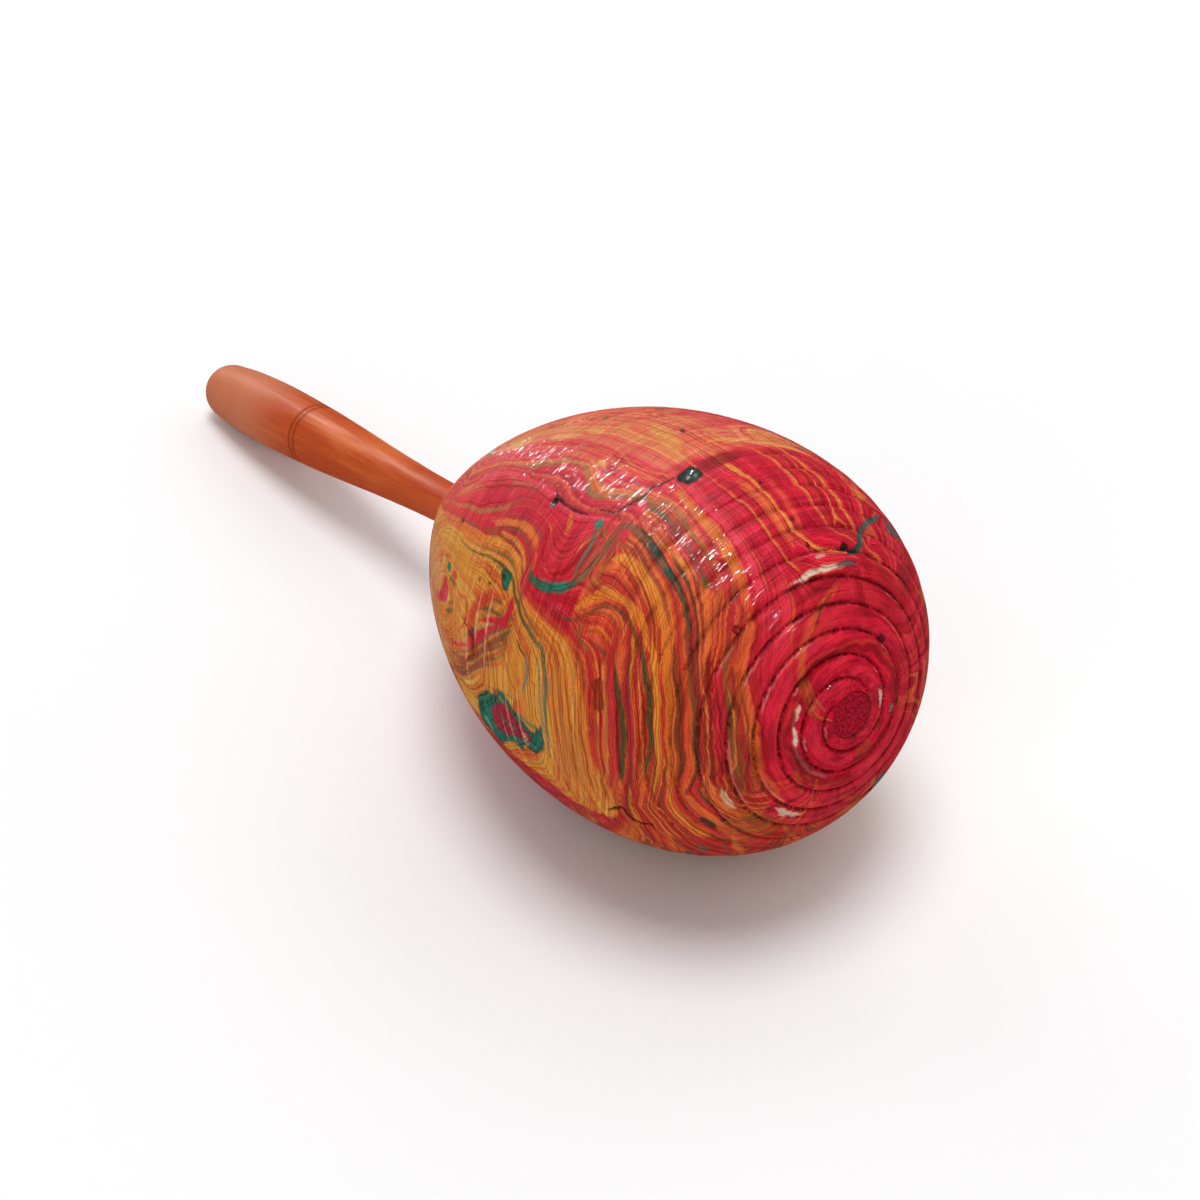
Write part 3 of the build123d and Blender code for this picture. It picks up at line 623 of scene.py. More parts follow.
    # ---- the green U and what it holds
    L([(60.2, -31), (61, -38), (61.2, -45), (62.6, -49.2), (64.6, -52), (67, -53.6), (70, -54.6), (73, -54.1), (75, -53), (76.4, -50.6)],
      [0.3, 0.5, 0.6, 0.9, 0.9, 0.6, 0.35], ["#6a5034", "#54583c", "#2c6048", "#1f6a54", "#2f5e46", "#5a5638"], op=0.92, soft=0.25, rough=0.4)
    L([(64.5, -50.6), (66.4, -52.4), (68.4, -53)], [0.3, 0.7, 0.3], "#1c7862", op=0.9)
    L([(64.3, -48), (64, -44), (64.3, -40), (65, -36)], 0.4, "#4f6a50", op=0.9)
    for k, dx in enumerate((0, 1.3, 2.5, 3.7, 4.9)):
        L([(59 + dx, -50), (58.4 + dx, -45), (58.8 + dx, -39), (60 + dx * 0.9, -33)], 0.28, ["#7a5a30", "#6a5c34", "#8c5a30"][k % 3], op=0.8, seed=60 + k, soft=0.16)
    L([(60, -52), (59.4, -46), (59.8, -40)], 0.6, "#b8602e", op=0.6)
    L([(64.8, -35.6), (65.5, -34), (66, -32.6)], [0.4, 0.9, 0.4], "#208472", op=0.95)
    B([(66.6, -51), (70, -52.4), (73.6, -51.4), (75.4, -47), (75, -37), (71, -36), (67, -39), (66.2, -45)], "#b02436", soft=0.5, op=0.85)
    L([(71, -40), (72, -37), (73.4, -34.4)], [0.4, 0.8, 0.4], "#c46a32", op=0.8)
    L([(68.6, -49.6), (70.6, -50.6), (73, -49.4)], 0.3, "#cc5a48", op=0.6)

    # ---- strata running to the neck
    L([(76, -58), (80, -52.6), (83, -50.6), (90, -49.8), (95, -50.8), (104, -51), (116, -51.2), (130, -51.4)],
      [0.5, 0.6, 0.6, 0.9, 0.8, 0.9, 1.0, 0.8], ["#c07030", "#cc8434", "#cf8a36", "#c8742f", "#c4582e", "#c05032"], op=0.9)
    L([(75.6, -56), (79.6, -50.8), (83, -48.8), (90, -48.2), (96, -49.4)], 0.3, "#7a4a2c", op=0.85)
    L([(77, -53), (80.6, -48.8), (84, -47.4), (90, -47.2)], 0.5, "#cf8c3c", op=0.85)
    L([(75.4, -51.6), (79, -46.8), (82.4, -45.2), (88, -45.2), (92.6, -47.2), (98, -48.6)], [0.3, 0.45, 0.45, 0.3], "#7c4630", op=0.9)
    L([(76, -46.6), (79, -43.8), (83, -43), (90, -44), (94, -45.4)], [0.4, 0.7, 0.6, 0.3], "#cc7634", op=0.9)
    L([(76, -44.6), (79.4, -41.8), (84, -41.2), (90, -42.4)], 0.3, "#8a4c34", op=0.75)
    L([(92, -46.8), (100, -47), (112, -47.6), (126, -48.2), (138, -48.6)], [0.5, 1.2, 1.3, 1.2, 0.8], "#b82238", op=0.85)
    L([(108.6, -49.9), (110.4, -49.7)], 0.5, "#3c1f1a", op=0.95)
    L([(88.5, -36.2), (91, -38.2), (94, -40.7), (98, -42.7), (103, -44.4), (110, -44.7), (118, -45.5), (128, -45.2)],
      [0.5, 0.6, 0.65, 0.6, 0.5, 0.4], ["#7c5c3c", "#8a6640", "#94643e", "#a0643e", "#ac6040"], op=0.9)
    L([(88.2, -36), (88, -33.6), (90, -32.4), (94, -33), (97, -33), (102, -31)], [0.45, 0.45, 0.3], ["#8a6440", "#96683f", "#a85a40"], op=0.8)
    B([(97, -41.6), (105, -42.4), (106.6, -35), (105, -31.6), (97.6, -33.4), (95.6, -38)], "#a01a30", soft=0.8, op=0.75)
    L([(108, -37), (116, -38.6), (125, -41.6)], [0.8, 1.4, 0.8], "#c86a46", op=0.7, soft=0.6)
    L([(120, -34.4), (122, -33.8)], 1.1, "#7c2230", op=0.85, soft=0.5)
    B([(78, -41), (88, -41), (96, -38), (96, -34), (84, -33), (76, -35)], "#b32236", soft=0.8, op=0.5)

    # ---- the olive contour and the orange band over it
    L([(31, -31), (33, -27), (36, -23), (40, -19.6), (45, -18), (50, -17.4), (55, -15.6), (58, -14)],
      [0.8, 1.1, 1.2, 1.2, 1.0, 0.7], ["#c05a2c", "#c86c30", "#cc7834", "#c86c34"], op=0.85, soft=0.4)
    L([(34, -38), (37, -31), (39, -28), (42, -26), (45, -24), (49, -22.5), (52, -21), (55, -19.5), (58, -21), (61, -22), (64, -23), (66, -24),
       (68, -26), (70, -27.5), (73, -27.5), (76, -25), (79, -22.5), (83, -21), (86, -21), (88, -22), (89.5, -24), (93, -24.5), (93.5, -27),
       (97, -26.8), (105, -27.2), (114, -29)],
      [0.5, 0.55, 0.5, 0.5, 0.55, 0.6, 0.55, 0.6, 0.5, 0.5, 0.35],
      ["#7c4a2c", "#7a5230", "#85603a", "#80603c", "#7c6040", "#8a6a44", "#80623c", "#8c643e", "#a06040"], op=0.9)
    L([(35, -35), (38, -28.6), (41, -25.2), (46, -22.4), (52, -19.6), (58, -18.6), (64, -20.6), (69, -24.6), (74, -24.6), (79, -19.6), (86, -18), (94, -21)],
      [0.4, 0.6, 0.7, 0.6], ["#b8502c", "#c4683a", "#c87440", "#cf8446"], op=0.7, soft=0.35)
    for k, dy in enumerate((-26, -23.4, -20.6, -17.4, -14.6)):
        L([(61, dy + 3), (66, dy), (71, dy - 0.6), (76, dy + 1.6), (81, dy + 2.6), (88, dy + 2)], 0.34,
          ["#c4623a", "#cc7440", "#c05a3a"][k % 3], op=0.7, seed=80 + k)
    B([(76, -19.6), (78.2, -19.8), (78.6, -17.6), (76.4, -17.4)], "#dd9c4c", soft=0.5, op=0.9)
    L([(36, -30), (44, -28), (52, -26.5), (60, -27.5)], [1.2, 2.2, 2.2, 1.2], "#ab2033", op=0.55, soft=0.8)
    L([(31, -8), (42, -10), (52, -9), (60, -7)], [1.5, 2.6, 2.6, 1.6], "#ae1f34", op=0.55, soft=1.0)
    L([(34, -1), (40, 0), (46, 0.5), (52, -1)], [0.7, 1.1, 1.1, 0.7], ["#c4602e", "#cc7038", "#cc7236"], op=0.75, soft=0.5)
    L([(66, -5), (71, -2), (76, 0), (81, 2)], [1.0, 2.0, 2.0, 1.0], ["#d88c46", "#dd964c", "#d88c4c"], op=0.75, soft=0.8)
    L([(35, 4), (42, 7), (50, 8)], [0.6, 1.2, 0.7], "#c2583a", op=0.55, soft=0.6)
    for q in ((33, 4), (39, 4), (49, 4)):
        L([q, (q[0] + 1.0, q[1] + 0.6)], 0.5, "#571c22", op=0.85)
    L([(66.4, 4), (64.5, 12), (62, 20), (60, 28), (59, 34)], [0.6, 1.0, 1.0, 0.6], ["#dd9048", "#dd9450", "#d8864c"], op=0.85, soft=0.5)
    L([(72.4, 2), (73.6, 3)], 0.9, "#c86a60", op=0.85)
    L([(72, 3.6), (74, 4.4)], 0.4, "#3c1c1c", op=0.85)
    B([(57.5, -5), (60.6, -4), (61, 2), (60, 8), (57.6, 6)], "#7c1a22", soft=0.6, op=0.75)
    for k in range(9):
        s0 = 64 + 3.1 * k
        L([(s0, 20 - 1.1 * k), (s0 + 3, 12 - 1.1 * k), (s0 + 5.5, 4 - 1.1 * k)], [0.4, 0.9 + 0.2 * (k % 2), 0.4],
          ["#dd8060", "#e08c54", "#cc5050", "#d8704e"][k % 4], op=0.55, soft=0.5, seed=90 + k)
    L([(92, -11), (96, -13), (101, -14)], [0.8, 1.6, 0.8], "#dd9c50", op=0.8, soft=0.7)
    L([(107, -16), (112, -17.6), (117, -19)], [0.8, 1.8, 0.9], "#dd9a54", op=0.8, soft=0.7)
    L([(87, -8), (90, -8.4), (93, -8)], [0.5, 1.2, 0.5], "#dd9848", op=0.75, soft=0.5)
    L([(84, -3.4), (86.4, -2.6)], 1.0, "#dd9848", op=0.7, soft=0.5)
    L([(107, -7.6), (109, -6.6)], 1.0, "#83283a", op=0.85, soft=0.5)
    L([(97.4, -2), (98.8, -1)], 0.8, "#8c2c34", op=0.8, soft=0.4)
    L([(94, -0.4), (95, 0.4)], 0.7, "#35423a", op=0.9, soft=0.3)
    L([(89.8, 13), (91, 15)], 0.9, "#3c5048", op=0.9, soft=0.4)
    L([(46, 40), (49, 43), (53, 44)], [0.8, 1.8, 0.9], "#d07a40", op=0.8, soft=0.8)
    L([(62, 34), (64, 32)], 0.9, "#7c7c60", op=0.7, soft=0.5)

    # turned lines past the bands: painted shade darkens the groove of each line, and a pale line along its flank is a
    # painted highlight
    wob = noise_sf(s, f, 9.0, 30, 801, 2)
    ph = (s + 0.35 * wob) / 2.17 + f / 360
    x2 = 2 * np.abs(ph - np.round(ph))
    where_on = smoothstep(48, 62, s) * smoothstep(-0.25, 0.35, noise_sf(s, f, 4.0, 16, 971, 2))
    a = (0.42 * where_on * smoothstep(0.86, 0.97, x2))[..., None]
    cv.c = cv.c * (1 - a) + cv.c * np.array([0.55, 0.42, 0.42]) * a
    a = (0.34 * where_on * smoothstep(-0.2, 0.3, noise_sf(s, f, 1.6, 60, 973, 2)) * (1 - smoothstep(0.05, 0.13, np.abs(x2 - 0.72))))[..., None]
    cv.c = cv.c * (1 - a) + rgb("#e8b090") * a
    # the finer turned lines: painted shade in their grooves and a painted highlight on their crests
    ph = (s + 0.2 * wob) / 0.83 + f / 120
    x2 = 2 * np.abs(ph - np.round(ph))
    where_on = smoothstep(30, 50, s) * smoothstep(-0.15, 0.45, noise_sf(s, f, 2.2, 24, 972, 2)) * (0.35 + 0.65 * smoothstep(-75, -35, f) * (1 - smoothstep(60, 100, f)))
    a = (0.5 * where_on * smoothstep(0.55, 0.95, x2))[..., None]
    cv.c = cv.c * (1 - a) + cv.c * np.array([0.66, 0.5, 0.5]) * a
    a = (0.34 * where_on * (1 - smoothstep(0.05, 0.40, x2)))[..., None]
    cv.c = cv.c * (1 - a) + (cv.c * 0.7 + rgb("#f0b070") * 0.3) * a
    # painted light: paler on top, as if lit from above, and toward the neck a painted reflection of the pale room in
    # the varnish
    a = (0.3 * smoothstep(50, 70, s) * smoothstep(-30, -8, f) * (1 - smoothstep(40, 80, f)))[..., None]
    cv.c = cv.c * (1 - a) + (cv.c * 0.7 + rgb("#f0b080") * 0.36) * a
    # painted reflection: toward the neck the colour goes pale orange, strongest on the upper near side
    a = (0.7 * smoothstep(84, 128, s) * (1 - 0.85 * smoothstep(30, 150, np.abs(f + 10))))[..., None]
    cv.c = cv.c * (1 - a) + (cv.c * 0.62 + rgb("#e8a070") * 0.42) * a
    # streaks that the tool dragged round the axis, strongest on the banded nose
    drag = noise_sf(s, f, 0.95, 26, 951, 2)
    drag2 = noise_sf(s, f, 2.3, 16, 952, 2)
    amount = np.interp(s, [0, 20, 45, 80, 130], [0.22, 0.20, 0.14, 0.10, 0.08])
    cv.c = cv.c * (1 + (amount * drag + 0.6 * amount * drag2))[..., None]
    a = (0.35 * smoothstep(0.30, 0.62, drag2) * (1 - smoothstep(20, 34, s)))[..., None]
    cv.c = cv.c * (1 - a) + rgb("#b83a2c") * a
    a = (0.45 * smoothstep(0.38, 0.66, drag) * (1 - smoothstep(30, 60, s)))[..., None]
    cv.c = cv.c * (1 - a) + cv.c * np.array([0.62, 0.5, 0.5]) * a
    return cv


def paint_marks(cv):
    """Painted highlights on the groove lips, then chips, cracks and knots, over the painted shade and dirt in the
    grooves.
    """
    B, L = cv.blob, cv.line
    # painted highlights: pale pink lips beside the grooves on the banded nose
    s, f = cv.s, cv.f
    x = 2 * (ridge_phase(s, f) - np.round(ridge_phase(s, f)))
    lip_highlight_patches = noise_sf(s, f, 7.0, 14, 961, 2)
    a = (0.55 * smoothstep(0.12, 0.4, lip_highlight_patches) * (1 - smoothstep(0.05, 0.10, np.abs(x - 0.80))) * (1 - smoothstep(24, 40, s)) * smoothstep(2.5, 5, s))[..., None]
    cv.c = cv.c * (1 - a) + rgb("#d8938c") * a
    # ---- cracks, knots and a pale streak round the axis
    L([(60.5, -11), (61, -15), (62, -18), (62, -22), (63, -26), (64, -29), (66.5, -30), (68.5, -31)], [0.22, 0.3, 0.2], "#2c1414", op=0.95, soft=0.14, rough=0.5)
    L([(69, -33), (73.5, -33.5), (79.5, -32.5), (82, -31)], [0.18, 0.28, 0.3, 0.18], "#2c1414", op=0.95, soft=0.14, rough=0.5)
    B([(79, -35), (80.4, -35.2), (80.6, -33), (79.4, -32.6)], "#1f1314", soft=0.2)
    L([(38, -23.5), (40.5, -24), (42, -25.5)], 0.2, "#6a1418", op=0.8, soft=0.15)
    B([(57.2, -11.4), (60.2, -11.2), (60.4, -6.6), (57.5, -6.4)], "#1f3a36", soft=0.22, edge="#16211f", edge_w=0.5)
    L([(58.8, -9.6), (59.4, -8.8)], 0.35, "#b8c0bc", op=0.9, soft=0.15)
    L([(57.8, -8), (58.4, -7.4)], 0.3, "#47756c", op=0.9, soft=0.15)
    B([(29.2, -40.4), (30.4, -40.4), (30.7, -38), (29.4, -37.6)], "#8c2a26", soft=0.2, edge="#5a1c1a", edge_op=0.9)
    L([(29.7, -39.2), (29.9, -38.8)], 0.22, "#c86a3c", op=0.95, soft=0.12)
    L([(28.5, -12), (28.6, 0), (28.5, 12), (28.7, 24)], [0.35, 0.6, 0.65, 0.5], ["#d8a090", "#e6bca8", "#cfa898", "#8a7472"], op=1.0, rough=0.5, taper=0.3)
    L([(28.6, 13), (28.8, 18), (28.7, 23)], [0.3, 0.6, 0.4], "#5c5654", op=0.9)
    L([(31.6, 18), (32.2, 20), (32, 22)], [0.3, 0.8, 0.4], "#241c1e", op=0.95)
    L([(30.5, 21), (32.5, 27.6), (35, 30), (38, 35), (40.5, 41), (43, 46)], [0.6, 0.8, 0.6, 0.6, 0.5], ["#27403c", "#33564e", "#3f5a52", "#34564c"], op=0.92)
    B([(40.5, 50), (43.6, 49), (45.4, 54), (43.4, 59), (41.4, 56)], "#44605a", soft=0.6, op=0.85)
    L([(31, 5), (31.2, 10)], 0.4, "#c09488", op=0.85)
    L([(12.7, -100), (12.7, -90), (12.8, -80)], 0.45, "#dcb49c", op=1.0, rough=0.55, taper=0.35)
    L([(12.5, -75), (12.5, -68), (12.7, -60)], 0.4, "#d8a890", op=0.95, rough=0.55, taper=0.35)
    L([(23.3, -155), (23.4, -145), (23.2, -135)], [0.5, 0.8, 0.4], "#cfa394", op=1.0, rough=0.55, taper=0.35)
    L([(28.5, -123), (28.9, -116), (28.5, -108)], [0.5, 0.9, 0.5], "#d0a080", op=1.0, rough=0.55, taper=0.35)
    L([(35, -128), (34.6, -124), (35.2, -120)], 0.7, "#3a3a34", op=0.85)
    L([(32, -127), (32.2, -124)], 0.5, "#43352c", op=0.85)
    L([(46, -120), (48, -121), (50, -117), (50.3, -113), (52, -114), (55, -115)], 0.28, "#241612", op=0.95, soft=0.15)
    L([(7.8, 73), (7.9, 90), (7.7, 105)], [0.4, 0.8, 0.5], "#cf9c90", op=0.95, rough=0.55, taper=0.35)
    L([(11.4, 104), (11.6, 109), (11.5, 114)], [0.5, 0.8, 0.5], "#8a7a76", op=0.85, seed=3)
    L([(11.0, 104), (11.1, 111)], 0.3, "#2c2024", op=0.8)


# ------------------------------------------------------------------- relief
def head_relief(s, f):
    """Height of the turned surface over the smooth outline, in mm, and how deep in a groove it lies (0-1)."""
    ph = ridge_phase(s, f)
    x = 2 * (ph - np.round(ph))
    wob = noise_sf(s, f, 9.0, 30, 801, 2)
    depth = np.interp(s, [0, 4.8, 8, 14, 30, 48, 57, 64, 72], [0.1, 0.35, 0.5, 0.62, 0.62, 0.5, 0.3, 0.12, 0.0])
    depth = depth * (1 + 0.18 * wob)
    sharp = 0.42 * (1 - 0.75 * smoothstep(24, 44, s))
    h = -depth * (0.75 * np.abs(x)**2.3 + sharp * smoothstep(0.82, 1.0, np.abs(x)))
    groove = smoothstep(0.72, 0.98, np.abs(x)) * np.clip(depth / 0.5, 0, 1)
    # torn, pitted bottoms of the grooves
    tear = noise_sf(s, f, 0.8, 300, 811, 2)
    h -= 0.16 * groove * smoothstep(-0.1, 0.5, tear)
    # fine tool lines, and a coarser set beyond the bands
    line_ph = (s + 0.35 * wob) / 2.17 + f / 360
    fade = smoothstep(50, 66, s) * (1 - 0.5 * smoothstep(118, 132, s))
    h -= 0.11 * fade * np.abs(2 * (line_ph - np.round(line_ph)))**2.5
    ph2 = (s + 0.2 * wob) / 0.83 + f / 360 * 3
    h -= 0.045 * np.abs(2 * (ph2 - np.round(ph2)))**2 * (0.5 + 0.5 * noise_sf(s, f, 6, 40, 812, 2))
    # small dents along the lines
    dent = noise_sf(s, f, 1.1, 210, 821, 2)
    h -= 0.10 * smoothstep(0.45, 0.8, dent)
    h += 0.05 * noise_sf(s, f, 16, 12, 831, 2)
    h -= 0.35 * groove * smoothstep(0.5, 0.8, noise_sf(s, f, 3.0, 70, 841, 2))
    return h, groove * (1 - 0.6 * smoothstep(24, 44, s))


# local hollows for chips, cracks and knots: points, half width, depth
CUTS = [
    ([(60.5, -11), (61, -15), (62, -18), (62, -22), (63, -26), (64, -29), (66.5, -30), (68.5, -31)], 0.25, 0.08),
    ([(69, -33), (73.5, -33.5), (79.5, -32.5), (82, -31)], 0.25, 0.08),
    ([(46, -120), (48, -121), (50, -117), (50.3, -113), (52, -114), (55, -115)], 0.30, 0.25),
    ([(28.5, -12), (28.6, 0), (28.5, 12), (28.7, 24)], 0.7, 0.28),
    ([(23.3, -155), (23.4, -145), (23.2, -135)], 0.8, 0.25),
    ([(28.5, -123), (28.9, -116), (28.5, -108)], 1.0, 0.35),
    ([(12.7, -100), (12.7, -90), (12.8, -80)], 0.5, 0.2),
    ([(7.8, 73), (7.9, 90), (7.7, 105)], 0.8, 0.22),
    ([(11.4, 104), (11.6, 109), (11.5, 114)], 0.9, 0.4),
    ([(57.6, -9.2), (60, -9)], 1.5, 0.25),
    ([(79.2, -34), (80.4, -34)], 0.8, 0.3),
    ([(30.5, 21), (32.5, 27.6), (35, 30)], 0.6, 0.3),
    ([(35, -128), (34.6, -124), (35.2, -120)], 0.7, 0.3),
]


def cuts(s, f):
    h = np.zeros(s.shape)
    cv = Canvas(s, f)
    for pts, w, depth in CUTS:
        c = curve(pts, 7)
        idx, x, y = cv.box(c, w + 0.6)
        if len(x) == 0:
            continue
        d, _, _ = cv.line_distance(x, y, c)
        h[idx] -= depth * (1 - smoothstep(w * 0.45, w + 0.15, d))
    return h


# ------------------------------------------------------------------- meshes
def ring_mesh(name, rows, cols, pos, closed_v, uvw=None):
    """A mesh of rows x cols points, closed round the columns; closed_v joins the last row to the first."""
    n = rows * cols
    me = bpy.data.meshes.new(name)
    me.vertices.add(n)
    me.vertices.foreach_set("co", pos.reshape(-1).astype(np.float32))
    rr = rows if closed_v else rows - 1
    i = np.arange(rr)[:, None]
    j = np.arange(cols)[None, :]
    i2, j2 = (i + 1) % rows, (j + 1) % cols
    quads = np.stack([np.broadcast_to(i * cols + j, (rr, cols)), np.broadcast_to(i * cols + j2, (rr, cols)),
                      np.broadcast_to(i2 * cols + j2, (rr, cols)), np.broadcast_to(i2 * cols + j, (rr, cols))], -1)
    quads = quads.reshape(-1, 4)
    me.loops.add(quads.size)
    me.loops.foreach_set("vertex_index", quads.reshape(-1).astype(np.int32))
    me.polygons.add(len(quads))
    me.polygons.foreach_set("loop_start", (np.arange(len(quads)) * 4).astype(np.int32))
    me.polygons.foreach_set("use_smooth", np.ones(len(quads), bool))
    me.update(calc_edges=True)
    me.validate()
    return me


def attribute(me, name, kind, values):
    a = me.attributes.new(name, kind, "POINT")
    if kind == "FLOAT_COLOR":
        v = np.concatenate([values.reshape(-1, 3), np.ones((values.size // 3, 1))], 1)
        a.data.foreach_set("color", v.reshape(-1).astype(np.float32))
    elif kind == "FLOAT_VECTOR":
        a.data.foreach_set("vector", values.reshape(-1).astype(np.float32))
    else:
        a.data.foreach_set("value", values.reshape(-1).astype(np.float32))


def add_piece(me, body, nodes, material, smooth_angle=38):
    ob = bpy.data.objects.new(me.name, me)
    bpy.context.scene.collection.objects.link(ob)
    me.materials.append(material)
    me.set_sharp_from_angle(angle=math.radians(smooth_angle))
    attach(ob, body)
    if nodes:
        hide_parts(*nodes)
    return ob


def to_linear(c):
    c = np.clip(c, 0, 1)
    return np.where(c <= 0.04045, c / 12.92, ((c + 0.055) / 1.055)**2.4)


def albedo(c):
    """From the drawn, as-lit colours to the paint's own."""
    lin = to_linear(c)
    grey = lin @ np.array([0.25, 0.6, 0.15])
    lin = grey[..., None] + (lin - grey[..., None]) * PAINT_SATURATION
    return np.clip((lin - PAINT_VEIL) * PAINT_GAIN, 0.0015, 0.9)


PAINT_SATURATION = 1.0
PAINT_VEIL = 0.005          # what the varnish mirrors of the pale room
PAINT_GAIN = np.array([1.62, 1.50, 1.52])

COLS = 768
ROW_STEP = 0.30
FDEG = (np.arange(COLS) / COLS * 360.0 - 180.0)


def head_half(name, s0, s1, inner, body, nodes, mat):
    """One half of the head: outside rows from s0 to s1, then the inner rows (u, r) that close it."""
    ns = int(round((s1 - s0) / ROW_STEP)) + 1
    s = np.linspace(s0, s1, ns)
    S, F = np.meshgrid(s, FDEG, indexing="ij")
    h, groove = head_relief(S, F)
    h = h + cuts(S, F)
    ends = smoothstep(s0, s0 + 0.7, S) if s0 < 20 else 1.0
    ends = ends * (1 - smoothstep(S_END - 1.2, S_END, S))
    h = h * ends
    u = np.interp(S, PS, PU) + np.interp(S, PS, PNU) * h
    r = np.interp(S, PS, PR) + np.interp(S, PS, PNR) * h
    cv = paint_head(S, F)
    colour, layer = cv.c, cv.flow
    # painted shade in the grooves, with dark torn fibre in patches along them
    g = (groove * (1 - 0.4 * smoothstep(22, 42, S)) * (0.12 + 0.68 * smoothstep(-0.3, 0.5, noise_sf(S, F, 1.2, 200, 903, 2))))[..., None]
    colour = colour * (1 - 0.55 * g) + rgb("#4a1a16") * 0.18 * g
    # painted shade: the deepest parts of the cuts are darkened
    deep = smoothstep(0.22, 0.5, -cuts(S, F))[..., None]
    colour = colour * (1 - 0.25 * deep)
    cv.c = colour
    paint_marks(cv)
    colour = cv.c
    colour = albedo(colour)

    inner = np.array(inner, float)
    iu = np.repeat(inner[:, :1], COLS, 1)
    ir = np.repeat(inner[:, 1:], COLS, 1)
    U, R = np.vstack([u, iu]), np.vstack([r, ir])
    FR = np.radians(np.broadcast_to(FDEG, U.shape))
    pos = place(U, R, FR)
    rows = U.shape[0]
    me = ring_mesh(name, rows, COLS, pos, True)
    wood = np.broadcast_to(to_linear(rgb("#b98f63")), (len(inner), COLS, 3))
    attribute(me, "paint", "FLOAT_COLOR", np.concatenate([colour, wood], 0))
    sv = np.concatenate([S, np.broadcast_to(inner[:, :1] + 300, (len(inner), COLS))], 0)
    fv = np.concatenate([F, np.broadcast_to(FDEG, (len(inner), COLS))], 0)
    lv = np.concatenate([layer, np.zeros((len(inner), COLS))], 0)
    # layer number, s, groove
    gv = np.concatenate([groove, np.zeros((len(inner), COLS))], 0)
    painted = np.concatenate([np.ones(S.shape), np.zeros((len(inner), COLS))], 0)
    attribute(me, "layer", "FLOAT_VECTOR", np.stack([lv, sv, np.zeros_like(lv)], -1))
    attribute(me, "groove", "FLOAT", gv)
    attribute(me, "painted", "FLOAT", painted)
    return add_piece(me, body, nodes, mat)


def turned(name, profile, cols, body, nodes, mat, smooth_angle=38):
    """A closed turned piece from (u, r) rows; the first and last rows lie on the axis."""
    p = np.array(profile, float)
    f = np.arange(cols) / cols * 2 * math.pi - math.pi
    mid = p[1:-1]
    U = np.repeat(mid[:, :1], cols, 1)
    R = np.repeat(mid[:, 1:], cols, 1)
    pos = place(U, R, np.broadcast_to(f, U.shape))
    me = ring_mesh(name, len(mid), cols, pos, False)
    import bmesh
    bm = bmesh.new()
    bm.from_mesh(me)
    verts = list(bm.verts)
    for row, (pu, _) in ((0, p[0]), (len(mid) - 1, p[-1])):
        tip = bm.verts.new(tuple(place(np.array(pu), np.array(0.0), np.array(0.0)).reshape(3)))
        ring = verts[row * cols:(row + 1) * cols]
        for k in range(cols):
            a, b = ring[k], ring[(k + 1) % cols]
            face = bm.faces.new((a, tip, b) if row == 0 else (b, tip, a))
            face.smooth = True
    bmesh.ops.recalc_face_normals(bm, faces=bm.faces)
    bm.to_mesh(me)
    bm.free()
    return add_piece(me, body, nodes, mat, smooth_angle)


